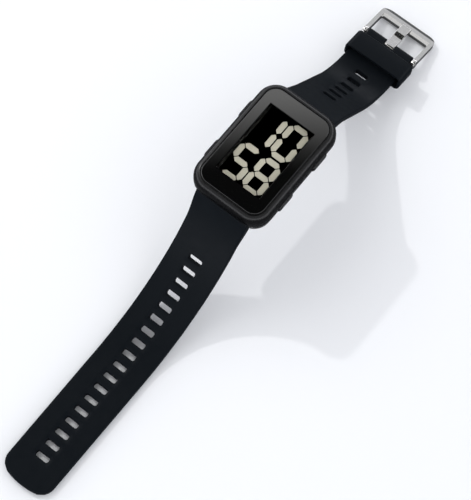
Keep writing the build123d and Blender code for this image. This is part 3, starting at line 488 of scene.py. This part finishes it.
def flared_half_width(along):
    """Half width from the wide head to the even strap, narrowing in an S past the case."""
    share = min(max((along - flare_start) / flare_length, 0.0), 1.0)
    return head_half_width + (strap_half_width - head_half_width) * share * share * (3 - 2 * share)


def rim_at(high, low):
    """The rim's width, which is less where the band is thin."""
    return min(edge_rim, rim_share * (high - low))


def rim_profile(low, high, rim):
    """Outward steps and heights down the rounded side of the band."""
    turns = [math.radians(turn) for turn in rim_turns]
    under = min(rim, under_rim)
    top = [(rim * math.sin(turn), high - rim * (1 - math.cos(turn))) for turn in turns]
    bottom = [(rim - under + under * math.sin(turn), low + under * (1 - math.cos(turn))) for turn in turns]
    return top + bottom[::-1]


def band_skin(grid, heights, gap, notch_line=()):
    """A closed band from a grid of flat points: top, bottom and the rounded side all round.

    grid holds rows of (x, along). gap says which quads are left open for slots or a notch, and
    notch_line lists the grid places round an open notch, which gets upright walls.
    """
    build = bmesh.new()
    last = len(grid) - 1
    wide = len(grid[0]) - 1
    rims = [rim_at(high, low) for high, low in heights]
    tops = [[build.verts.new(Vector((x, y, high)) * MM) for x, y in row]
            for row, (high, low) in zip(grid, heights)]
    lows = [[build.verts.new(Vector((x, y, low)) * MM) for x, y in row]
            for row, (high, low) in zip(grid, heights)]
    for row in range(last):
        for column in range(wide):
            if gap(row, column):
                continue
            corners = [(row, column), (row, column + 1), (row + 1, column + 1), (row + 1, column)]
            build.faces.new([tops[a][b] for a, b in corners])
            build.faces.new([lows[a][b] for a, b in reversed(corners)])
    border = [(row, wide) for row in range(last + 1)] + [(last, column) for column in range(wide - 1, -1, -1)]
    border += [(row, 0) for row in range(last - 1, -1, -1)]

    def flat_spot(place):
        row, column = border[min(max(place, 0), len(border) - 1)]
        return Vector(grid[row][column])

    side = []
    for place, (row, column) in enumerate(border):
        way = (flat_spot(place + 1) - flat_spot(place - 1)).normalized()
        out = Vector((way.y, -way.x))
        high, low = heights[row]
        spot = flat_spot(place)
        ring = [tops[row][column]]
        for step, height in rim_profile(low, high, rims[row])[1:-1]:
            x, y = spot + out * step
            ring.append(build.verts.new(Vector((x, y, height)) * MM))
        ring.append(lows[row][column])
        side.append(ring)
    for here, there in zip(side, side[1:]):
        for step in range(len(here) - 1):
            build.faces.new((here[step], here[step + 1], there[step + 1], there[step]))
    for (a, b), (c, d) in zip(notch_line, notch_line[1:]):
        build.faces.new((tops[a][b], tops[c][d], lows[c][d], lows[a][b]))
    return build


print("band rim", edge_rim, "mm, less where the band is under", round(edge_rim / rim_share, 2), "mm high")

# %% [markdown]
# ## The long half
#
# The long half ends in a rounded tip: two corner arcs and a nearly flat crown. Its last rows change
# step by step from a straight line into that outline, so the grid stays even. A boolean cut of the tip
# and the slots would leave long thin faces, and these would show in the wide soft highlights.

# %% The long half, flat
tip_half_width = 9.7
tip_corner = 5.4
tip_crown = 30.0  # radius
tip_rows = 6
tip_centre_x = tip_half_width - tip_corner
tip_touch = math.acos(tip_centre_x / (tip_crown - tip_corner))  # radians, where corner and crown meet
tip_start = long_length - tip_crown + (tip_crown - tip_corner) * math.sin(tip_touch)
side_shares = (0.5, 0.93, 1.0)  # points between the slots and the side


def across_row(half_width, along):
    """One straight row of points, from left to right, with the cell's columns in its middle."""
    inner = cell_columns[0]
    right = [inner + (half_width - inner) * share for share in side_shares]
    columns = right[::-1] + cell_columns + [-x for x in right]
    return [(x, along) for x in reversed(columns)]


def quad_middle(grid, row, column):
    """Where the middle of one of the grid's quads lies, across and along."""
    across = (grid[row][column][0] + grid[row][column + 1][0]) / 2
    return across, (grid[row][0][1] + grid[row + 1][0][1]) / 2


def in_slots(across, along, first_slot, slots):
    """Whether a place belongs to the slot cells."""
    start = first_slot - slot_pitch / 2
    return abs(across) < cell_columns[0] and start < along < start + slots * slot_pitch


def long_half_width(along):
    """Half width of the long half: the head, then an even taper to the tip."""
    start = flare_start + flare_length
    share = min(max((along - start) / (long_length - tip_corner - start), 0.0), 1.0)
    return flared_half_width(along) - (strap_half_width - tip_half_width) * share


def tip_point(share):
    """A point of the tip's outline, set in by the rim: 0 at its middle, 1 at the middle of its corner."""
    corner = tip_corner - edge_rim
    crown = tip_crown - edge_rim
    crown_run = (math.pi / 2 - tip_touch) * crown
    run = abs(share) * (crown_run + tip_touch / 2 * corner)
    sign = 1 if share > 0 else -1
    if run < crown_run:
        turn = run / crown
        return sign * crown * math.sin(turn), long_length - tip_crown + crown * math.cos(turn)
    turn = tip_touch - (run - crown_run) / corner
    return sign * (tip_centre_x + corner * math.cos(turn)), tip_start + corner * math.sin(turn)


# %% The long half's grid
def long_band():
    """The flat long half, with an open gap for its slot cells."""
    rows = band_rows(long_first_slot, long_slots, tip_start)
    heights = [root_heights(row) for row in rows]
    grid = [across_row(long_half_width(row) - rim_at(*height), row) for row, height in zip(rows, heights)]
    straight_row = grid[-1]
    edge = straight_row[-1][0]
    corner = tip_corner - edge_rim
    for step in range(1, tip_rows + 1):
        share = step / tip_rows
        turn = tip_touch / 2 * share
        row = []
        for x, y in straight_row:
            end_x, end_y = tip_point(x / edge)
            row.append((x + (end_x - x) * share, y + (end_y - y) * share))
        side_x, side_y = tip_centre_x + corner * math.cos(turn), tip_start + corner * math.sin(turn)
        row[0] = (-side_x, side_y)
        row[-1] = (side_x, side_y)
        grid.append(row)
        heights.append((0.0, -strap_thickness))

    def slot_gap(row, column):
        return in_slots(*quad_middle(grid, row, column), long_first_slot, long_slots)

    return mesh_object("long_band", band_skin(grid, heights, slot_gap))


long_flat = long_band()
print("long half", len(long_flat.data.polygons), "faces when flat")

# %% [markdown]
# ## The short half
#
# The short half ends in a knuckle round the buckle's bar. It is a little narrower there, to fit between
# the buckle's arms, and has a notch in its middle where the tongue goes round the bar. The notch is a gap
# in the same grid, with upright walls of its own.

# %% The short half, flat
neck_half_width = 9.45
shoulder_from_pin = 3.4
shoulder_slant = 0.8
shoulder_lead = 0.3  # the even rows stop this far before the shoulder
notch_half_width = 2.1
notch_start = 1.61
knuckle_rows = [1.9, notch_start, 1.2, 0.8, 0.4, 0.0]  # before the bar
knuckle_turns = (15, 30, 45, 60, 75, 90)  # round the bar
tolerance = 0.01


def short_half_width(along):
    """Half width of the short half: head, body, and the narrower neck between the buckle's arms."""
    share = min(max((along - short_length + shoulder_from_pin) / shoulder_slant, 0.0), 1.0)
    return flared_half_width(along) - (strap_half_width - neck_half_width) * share


def end_heights(along):
    """Heights at the buckle's end: the even strap grows into a knuckle round the pin."""
    high, low = root_heights(along)
    past = along - short_length
    reach = math.sqrt(max(end_pin_radius ** 2 - past ** 2, 0.0))
    if past > 0:
        return reach - end_pin_radius, -reach - end_pin_radius
    return high, min(low, -reach - end_pin_radius) if -past < end_pin_radius else low


def short_band():
    """The flat short half, with gaps for its slot cells and for the buckle's tongue."""
    shoulder_rows = [shoulder_from_pin - shoulder_slant * share for share in (0, 0.5, 1)]
    rows = band_rows(short_first_slot, short_slots, short_length - shoulder_from_pin - shoulder_lead)
    rows += [short_length - back for back in shoulder_rows + knuckle_rows]
    rows += [short_length + end_pin_radius * math.sin(math.radians(turn)) for turn in knuckle_turns]
    heights = [end_heights(row) for row in rows]
    grid = [across_row(short_half_width(row) - rim_at(*height), row) for row, height in zip(rows, heights)]
    notch = short_length - notch_start - tolerance

    def open_gap(row, column):
        across, along = quad_middle(grid, row, column)
        in_notch = abs(across) < notch_half_width and along > notch
        return in_notch or in_slots(across, along, short_first_slot, short_slots)

    top_row = next(place for place, row in enumerate(rows) if row > notch)
    last = len(rows) - 1
    columns = [place for place, point in enumerate(grid[-1]) if abs(point[0]) <= notch_half_width + tolerance]
    down = [(row, columns[0]) for row in range(last, top_row, -1)]
    level = [(top_row, column) for column in columns]
    back = [(row, columns[-1]) for row in range(top_row + 1, last + 1)]
    return mesh_object("short_band", band_skin(grid, heights, open_gap, down + level + back))


short_flat = short_band()
print("short half", len(short_flat.data.polygons), "faces when flat, long", round(short_length, 2), "mm")

# %% [markdown]
# ## Laying a half along its line
#
# One Geometry Nodes tree does the repeating and the bending. It sets the cells out along the band by
# count, first place and pitch, welds them in, and then moves every point: its Y is a length along the
# line, its Z is the height over the line's face, and X stays across. The sizes are inputs of the tree, so
# both halves share it.

# %% The tree that bends a half
weld_distance = 0.02


def strap_tree():
    """Geometry Nodes tree: cells along the band, welded, then laid along a line."""
    tree = bpy.data.node_groups.new("lay_strap_half", "GeometryNodeTree")
    face = tree.interface
    face.new_socket("Geometry", in_out="INPUT", socket_type="NodeSocketGeometry")
    inputs = [("Cell", "Object"), ("Line", "Object"), ("Slots", "Int"), ("First slot", "Float"),
              ("Pitch", "Float"), ("Line overlap", "Float"), ("Side", "Float"), ("Material", "Material")]
    for label, kind in inputs:
        face.new_socket(label, in_out="INPUT", socket_type="NodeSocket" + kind)
    face.new_socket("Geometry", in_out="OUTPUT", socket_type="NodeSocketGeometry")
    given = add_node(tree, "NodeGroupInput").outputs
    first = add_node(tree, "ShaderNodeCombineXYZ", {"Y": given["First slot"]})
    step = add_node(tree, "ShaderNodeCombineXYZ", {"Y": given["Pitch"]})
    places = add_node(tree, "GeometryNodeMeshLine",
                      {"Count": given["Slots"], "Start Location": first.outputs[0],
                       "Offset": step.outputs[0]}, mode="OFFSET")
    cells = add_node(tree, "GeometryNodeObjectInfo", {"Object": given["Cell"]})
    copies = add_node(tree, "GeometryNodeInstanceOnPoints",
                      {"Points": places.outputs[0], "Instance": cells.outputs["Geometry"]})
    real = add_node(tree, "GeometryNodeRealizeInstances", {"Geometry": copies.outputs[0]})
    joined = add_node(tree, "GeometryNodeJoinGeometry", {"Geometry": real.outputs[0]})
    tree.links.new(given["Geometry"], joined.inputs[0])
    welded = add_node(tree, "GeometryNodeMergeByDistance", {"Geometry": joined.outputs[0]},
                      Distance=weld_distance * MM)
    here = add_node(tree, "GeometryNodeInputPosition")
    point = add_node(tree, "ShaderNodeSeparateXYZ", {"Vector": here.outputs[0]})
    along = add_node(tree, "ShaderNodeMath", {0: point.outputs["Y"], 1: given["Line overlap"]},
                     operation="ADD")
    line = add_node(tree, "GeometryNodeObjectInfo", {"Object": given["Line"]})
    sample = add_node(tree, "GeometryNodeSampleCurve", {"Curves": line.outputs["Geometry"],
                                                       "Length": along.outputs[0]}, mode="LENGTH")
    across = add_node(tree, "ShaderNodeCombineXYZ", {"X": given["Side"]})
    up = add_node(tree, "ShaderNodeVectorMath", {0: across.outputs[0], 1: sample.outputs["Tangent"]},
                  operation="CROSS_PRODUCT")
    wide = add_node(tree, "ShaderNodeVectorMath", {0: across.outputs[0], "Scale": point.outputs["X"]},
                    operation="SCALE")
    tall = add_node(tree, "ShaderNodeVectorMath", {0: up.outputs[0], "Scale": point.outputs["Z"]},
                    operation="SCALE")
    spot = add_node(tree, "ShaderNodeVectorMath", {0: sample.outputs["Position"], 1: wide.outputs[0]},
                    operation="ADD")
    spot = add_node(tree, "ShaderNodeVectorMath", {0: spot.outputs[0], 1: tall.outputs[0]}, operation="ADD")
    laid = add_node(tree, "GeometryNodeSetPosition",
                    {"Geometry": welded.outputs[0], "Position": spot.outputs[0]})
    whole = add_node(tree, "GeometryNodeRealizeInstances", {"Geometry": laid.outputs[0]})
    finished = add_node(tree, "GeometryNodeSetMaterial", {"Geometry": whole.outputs[0],
                                                         "Material": given["Material"]})
    add_node(tree, "NodeGroupOutput", {"Geometry": finished.outputs[0]})
    return tree


laying = strap_tree()
print("tree", laying.name, "has", len(laying.nodes), "nodes")

# %% [markdown]
# ## Finishing a piece
#
# A tree's result has to become a plain mesh, because only meshes ride on the watch's bodies. Each finished
# piece is then welded, so that it has no open edge, and its faces are turned outwards. It takes its finish,
# rides on its body and stands in for the CAD pieces of that name.

# %% Bake, close and fit
closing_weld = 0.005


def bake(item, tree, values, name):
    """Runs a tree on an object and keeps the result as a plain mesh object of its own."""
    run = item.modifiers.new("run", "NODES")
    run.node_group = tree
    sockets = {socket.name: socket.identifier for socket in tree.interface.items_tree
               if socket.in_out == "INPUT"}
    for label, value in values.items():
        run[sockets[label]] = value
    graph = bpy.context.evaluated_depsgraph_get()
    mesh = bpy.data.meshes.new_from_object(item.evaluated_get(graph))
    mesh.name = name
    bpy.data.objects.remove(item)
    piece = bpy.data.objects.new(name, mesh)
    bpy.context.scene.collection.objects.link(piece)
    return piece


def closed(piece):
    """Welds a piece, drops stray edges, turns its faces outwards and counts its open edges."""
    build = bmesh.new()
    build.from_mesh(piece.data)
    bmesh.ops.remove_doubles(build, verts=build.verts, dist=closing_weld * MM)
    loose = [edge for edge in build.edges if not edge.link_faces]
    bmesh.ops.delete(build, geom=loose, context="EDGES")
    bmesh.ops.recalc_face_normals(build, faces=build.faces)
    open_edges = sum(1 for edge in build.edges if not edge.is_manifold)
    for face in build.faces:
        face.smooth = True
    build.to_mesh(piece.data)
    build.free()
    print(piece.name, "faces", len(piece.data.polygons), "open edges", open_edges)
    return piece


def fit_piece(piece, body, slot, *replaced):
    """Puts a finished piece on its body, with its finish, in place of CAD nodes."""
    piece.data.materials.clear()
    piece.data.materials.append(finishes[slot])
    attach(piece, body)
    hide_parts(*replaced)


# %% [markdown]
# ## Both halves on the watch
#
# The long half falls away on one side of the case and the short half on the other, so the same tree takes
# a side of -1 or 1. The cell and the two lines are only helpers, and go once both halves are baked.

# %% Both halves, laid
halves = [("long", long_flat, long_line, long_slots, long_first_slot, -1.0),
          ("short", short_flat, short_line, short_slots, short_first_slot, 1.0)]
for label, flat, line, slots, first_slot, side in halves:
    values = {"Cell": cell, "Line": line, "Slots": slots, "First slot": first_slot * MM,
              "Pitch": slot_pitch * MM, "Line overlap": line_overlap * MM, "Side": side,
              "Material": finishes["strap_rubber"]}
    half = closed(bake(flat, laying, values, "strap_half_" + label))
    fit_piece(half, "strap_" + label, "strap_rubber", "strap_" + label)
for helper in (cell, long_line, short_line):
    bpy.data.objects.remove(helper)

# %% [markdown]
# ## The keeper
#
# The keeper is a short loop of the same rubber, moulded in one piece. Its section is a flat bar with soft
# edges, carried round a rounded rectangle. The outer corners are rounder than the inner ones, so each
# step of the loop joins an outer and an inner point. A curve with a bevel would give both the same
# corners and make the wall thin there.

# %% Keeper loop
keeper_wall = 1.0
keeper_length = 8.0
keeper_rim = 0.35
keeper_outer = (11.9, 3.35, 2.1)  # half width, half height and corner radius
keeper_inner = (10.9, 2.35, 0.5)
quadrants = [(1, 1), (-1, 1), (-1, -1), (1, -1)]  # signs of a corner's place, in turn


def rounded_loop(half_width, half_height, radius, corner_steps=8, side_steps=6):
    """Points round a rounded rectangle, evenly numbered in each corner and side."""
    points = []
    for quadrant, (sign_x, sign_y) in enumerate(quadrants):
        centre = (sign_x * (half_width - radius), sign_y * (half_height - radius))
        for step in range(corner_steps + 1):
            turn = math.radians(90 * quadrant + 90 * step / corner_steps)
            points.append((centre[0] + radius * math.cos(turn), centre[1] + radius * math.sin(turn)))
        next_x, next_y = quadrants[(quadrant + 1) % 4]
        turn = math.radians(90 * (quadrant + 1))
        start = points[-1]
        end = (next_x * (half_width - radius) + radius * math.cos(turn),
               next_y * (half_height - radius) + radius * math.sin(turn))
        for step in range(1, side_steps):
            share = step / side_steps
            points.append((start[0] + (end[0] - start[0]) * share, start[1] + (end[1] - start[1]) * share))
    return points


def bar_section(wall, length, rim):
    """A flat bar's section as (depth from the outer face, place along the strap), edges rounded."""
    half = length / 2
    turns = [math.radians(turn) for turn in rim_turns]
    corner = [(rim * (1 - math.sin(turn)), half - rim * (1 - math.cos(turn))) for turn in turns]
    quarter = corner[::-1]
    outer = [(0.0, 0.0)] + quarter
    inner = [(wall - depth, place) for depth, place in reversed(quarter)]
    front = outer + inner
    return front + [(depth, -place) for depth, place in reversed(front) if place]


def keeper_loop():
    """The loop round the short half, square to the strap where it sits."""
    low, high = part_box("keeper")
    centre = (Vector(low) + Vector(high)) / 2
    way = Vector(joints["keeper_slide"]["axis"]).normalized()
    up = Vector((1, 0, 0)).cross(way)
    outer = rounded_loop(*keeper_outer)
    inner = rounded_loop(*keeper_inner)
    section = bar_section(keeper_wall, keeper_length, keeper_rim)
    build = bmesh.new()
    rings = []
    for (ox, oz), (ix, iz) in zip(outer, inner):
        ring = []
        for depth, place in section:
            share = depth / keeper_wall
            x = ox + (ix - ox) * share
            z = oz + (iz - oz) * share
            ring.append(build.verts.new(centre + (Vector((1, 0, 0)) * x + up * z + way * place) * MM))
        rings.append(ring)
    for here, there in zip(rings, rings[1:] + rings[:1]):
        for step in range(len(here)):
            after = (step + 1) % len(here)
            build.faces.new((here[step], there[step], there[after], here[after]))
    return closed(mesh_object("keeper_loop", build))


fit_piece(keeper_loop(), "keeper", "strap_rubber", "keeper")

# %% [markdown]
# ## Rounded edges on the stamped and moulded parts
#
# A stamped or moulded part has no knife edge, and the rounding is what draws the thin bright line along
# a piece. So the pieces that carry such lines are copied from the CAD, and their sharp edges are rounded.
# Large faces stay flat and only the small ones are shaded smooth, because a smooth flat face would
# mirror the room as if it were bent.

# %% Glass, buckle and buttons with eased edges
flat_area = 2.5  # square mm
copy_weld = 0.002
flat_turn = 1  # faces that turn by less are one flat
sharp_turn = 30
rim_steps = 3


def softened(node, name, rim, slack):
    """A copy of a CAD piece with its sharp edges rounded, and made smaller by a slack on each side.

    The slack keeps two faces from lying in the same place, where the renderer would mix them.
    """
    build = bmesh.new()
    build.from_mesh(nodes[node].data)
    build.transform(nodes[node].matrix_world)
    bmesh.ops.remove_doubles(build, verts=build.verts, dist=copy_weld * MM)
    bmesh.ops.dissolve_limit(build, angle_limit=math.radians(flat_turn), verts=build.verts,
                             edges=build.edges)
    sharp = [edge for edge in build.edges
             if edge.is_manifold and edge.calc_face_angle() > math.radians(sharp_turn)]
    bmesh.ops.bevel(build, geom=sharp, offset=rim * MM, segments=rim_steps, profile=0.5,
                    affect="EDGES", clamp_overlap=True)
    low, high = (Vector(corner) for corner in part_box(node))
    shrink = Vector([1 - 2 * slack * MM / (high[axis] - low[axis]) for axis in range(3)])
    bmesh.ops.scale(build, vec=shrink, space=Matrix.Translation(-(low + high) / 2), verts=build.verts)
    piece = closed(mesh_object(name, build))
    for face in piece.data.polygons:
        face.use_smooth = face.area < flat_area * MM * MM
    return piece


# Each row: CAD piece, body, finish, rim and slack
soft_pieces = [("buckle_frame", "buckle_frame", "buckle_steel", 0.22, 0.0),
               ("buckle_tongue", "buckle_tongue", "buckle_steel", 0.14, 0.0),
               ("crystal", "case", "crystal", 0.12, 0.012)]
soft_pieces += [("button_" + corner, "button_" + corner, "case_black", 0.15, 0.0)
                for corner in ("right_upper", "right_lower", "left_upper", "left_lower")]
for node, body, slot, rim, slack in soft_pieces:
    fit_piece(softened(node, node + "_eased", rim, slack), body, slot, node)

# %% [markdown]
# ## The display's front
#
# A real display has a film on its front glass. Two clear layers that touch would cost the renderer two
# more passes and show nothing, so one thin slab stands for both.

# %% Front of the display
front = softened("lcd_front_glass", "display_front", rim=0.02, slack=0.01)
fit_piece(front, "case", "lcd_glass", "lcd_front_glass", "lcd_front_polarizer")

# %% [markdown]
# ## The figures on the display
#
# Each figure has seven places for a segment: three lie across and four stand. A segment is a flat bar
# whose ends are cut at 45 degrees, so that neighbours meet along a thin dark line. The bars sit in the
# layer between the two thin glasses, where the display film turns pale.

# %% Lit segments
segment_width = 2.0
segment_slit = 0.3
segment_blunt = 0.12  # half width of a bar's point
segment_inset = 0.015  # keeps a bar's faces off the glasses
figure_size = (6.0, 12.0)  # between the middles of its bars
figure_pitch = (8.5, 14.8)  # from figure to figure
lying = {"a": 1, "g": 0, "d": -1}
standing = {"f": (-1, 1), "b": (1, 1), "e": (-1, -1), "c": (1, -1)}
figures = {(-1, 1): "bc", (1, 1): "abcdef", (-1, -1): "acdfg", (1, -1): "abcdefg"}


def segment_bar(build, middle, length, turned, low, high):
    """Adds one bar, from low to high, with its middle at a place in the figure's plane."""
    half = segment_width / 2
    reach = length / 2 - segment_slit * math.sqrt(0.5) - segment_blunt
    shoulder = length / 2 - segment_slit * math.sqrt(0.5) - half
    outline = [(shoulder, half), (reach, segment_blunt), (reach, -segment_blunt), (shoulder, -half)]
    outline += [(-x, -y) for x, y in outline]
    if turned:
        outline = [(-y, x) for x, y in outline]
    rings = [[build.verts.new(Vector((middle[0] + x, middle[1] + y, level)) * MM) for x, y in outline]
             for level in (low, high)]
    build.faces.new(rings[1])
    build.faces.new(rings[0][::-1])
    for place in range(len(outline)):
        after = (place + 1) % len(outline)
        build.faces.new((rings[0][place], rings[0][after], rings[1][after], rings[1][place]))


def lit_segments():
    """All the lit segments, as one piece with flat faces, as high as the display's own layer."""
    low, high = (Vector(corner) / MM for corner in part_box("digit_segments"))
    glass_low, glass_high = (Vector(corner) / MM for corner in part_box("lcd_rear_glass"))
    middle = (glass_low + glass_high) / 2
    build = bmesh.new()
    for (column, row), lit in figures.items():
        x = middle.x + column * figure_pitch[0] / 2
        y = middle.y + row * figure_pitch[1] / 2
        for name in lit:
            if name in lying:
                spot = (x, y + lying[name] * figure_size[1] / 2)
            else:
                side, end = standing[name]
                spot = (x + side * figure_size[0] / 2, y + end * figure_size[1] / 4)
            length = figure_size[0] if name in lying else figure_size[1] / 2
            segment_bar(build, spot, length, name in standing, low.z + segment_inset, high.z - segment_inset)
    piece = closed(mesh_object("display_segments", build))
    for face in piece.data.polygons:
        face.use_smooth = False
    return piece


fit_piece(lit_segments(), "case", "segments", "digit_segments")
print("lit segments", sum(len(lit) for lit in figures.values()), "in", len(figures), "figures")

# %% [markdown]
# ## The table
#
# The watch lies on white paper that reaches past the picture on every side, so that no edge of it shows
# and its light fills the undersides.

# %% White paper
floor_size = 4.0  # metres


def floor_paper():
    """White uncoated paper: it takes the soft shadow and has no shine.

    Its colour has a painted dim reflection: rays mirrored off shiny parts see it mid grey instead of white, which
    stands in for a darker room.
    """
    material, tree, shader = new_material("white_paper", {"Roughness": 0.9, "Specular IOR Level": 0.0})
    # Painted reflection: white to the camera, painted mid grey for glossy rays, so shiny parts mirror a painted
    # darker table.
    path = add_node(tree, "ShaderNodeLightPath").outputs["Is Glossy Ray"]
    tinted(tree, shader, path, "#f7f8fa", "#6c6d6f")
    return material


mesh = bpy.data.meshes.new("table")
reach = floor_size / 2
mesh.from_pydata([(-reach, -reach, 0), (reach, -reach, 0), (reach, reach, 0), (-reach, reach, 0)],
                 [], [(0, 1, 2, 3)])
table = bpy.data.objects.new("table", mesh)
bpy.context.scene.collection.objects.link(table)
table.data.materials.append(floor_paper())
print("table", floor_size, "m wide")

# %% [markdown]
# ## The room and its light
#
# A black object shows the room more than its own colour. So the room is a ramp by height: pale near the
# table, which draws the edges of the black parts, an even grey above it, a lighter band, and dark at the
# zenith. The flat glass mirrors the step from the band to the dark as its gradient. A small lamp high on
# the left gives the shadow its edge, and a wide one beside it fills the shadow.

# %% Room
room_strength = 2.85
room_stops = [(0.26, "#f4f5fa"), (0.4, "#8f9093"), (0.84, "#8c8d8f"), (0.89, "#bfbfbe"),
              (0.906, "#bfbfbe"), (0.9195, "#090a0a")]  # height of the direction, from 0 to 1, and colour

world = bpy.data.worlds.new("studio")
bpy.context.scene.world = world
world.use_nodes = True
sky = world.node_tree
background = sky.nodes["Background"]
background.inputs["Strength"].default_value = room_strength
direction = add_node(sky, "ShaderNodeTexCoord").outputs["Generated"]
height = add_node(sky, "ShaderNodeSeparateXYZ", {"Vector": direction}).outputs["Z"]
ramp = add_node(sky, "ShaderNodeValToRGB", {"Fac": height})
while len(ramp.color_ramp.elements) < len(room_stops):
    ramp.color_ramp.elements.new(0.5)
for element, (place, hex_code) in zip(ramp.color_ramp.elements, room_stops):
    element.position = place
    element.color = linear(hex_code)
sky.links.new(ramp.outputs["Color"], background.inputs["Color"])
print("room has", len(room_stops), "stops")

# %% Lamps
lamp_target = Vector((0, case_y * MM, 0.02))
key_place = lamp_target + Vector((-0.85, 0.15, 0.85))
soft_key_place = lamp_target + Vector((-0.78, 0.1, 0.88))


def panel(name, place, size, power, shape):
    """A lamp that faces the watch: its place and size are in metres, its power in watts."""
    lamp = bpy.data.lights.new(name, "AREA")
    lamp.shape = shape
    lamp.size = size
    lamp.energy = power
    item = bpy.data.objects.new(name, lamp)
    item.visible_transmission = False
    bpy.context.scene.collection.objects.link(item)
    item.location = place
    item.rotation_euler = (lamp_target - place).to_track_quat("-Z", "Y").to_euler()
    print("lamp", name, power, "W,", size, "m wide")


panel("key", key_place, size=0.035, power=2.5, shape="SQUARE")
panel("soft_key", soft_key_place, size=0.75, power=1.4, shape="DISK")

# %% [markdown]
# ## The camera
#
# The camera's place comes from the picture: the places of the slots, the corners of the display and the
# strap's width fix its direction and distance. It is built from three directions, to the right, up and
# back, because two angles and a small roll are then easy to read.

# %% Camera
camera_turn = math.radians(51.66)
camera_rise = math.radians(69.71)
camera_roll = math.radians(0.17)
camera_distance = 645.7
camera_target = Vector((4.09, case_y - 20.53, 0)) * MM  # on the table, in the middle of the picture
camera_zoom = 2.93  # pixels for a millimetre at the target
picture_height = 500  # pixels
across = Vector((math.sin(camera_turn), math.cos(camera_turn), 0))
ahead = Vector((-math.cos(camera_turn), math.sin(camera_turn), 0))
upwards = math.sin(camera_rise) * ahead + Vector((0, 0, math.cos(camera_rise)))
backwards = -math.cos(camera_rise) * ahead + Vector((0, 0, math.sin(camera_rise)))
right = math.cos(camera_roll) * across + math.sin(camera_roll) * upwards
up = -math.sin(camera_roll) * across + math.cos(camera_roll) * upwards
lens = bpy.data.cameras.new("camera")
lens.sensor_fit = "VERTICAL"
lens.sensor_height = 36.0
lens.lens = camera_zoom * camera_distance * lens.sensor_height / picture_height
lens.clip_start = 0.01  # metres
camera = bpy.data.objects.new("camera", lens)
bpy.context.scene.collection.objects.link(camera)
turned = Matrix((right, up, backwards)).transposed().to_4x4()
camera.matrix_world = Matrix.Translation(camera_target + camera_distance * MM * backwards) @ turned
bpy.context.scene.camera = camera
bpy.context.scene.view_settings.view_transform = "Standard"
print("camera", camera_distance, "mm from its target, with a lens of", round(lens.lens, 1), "mm")
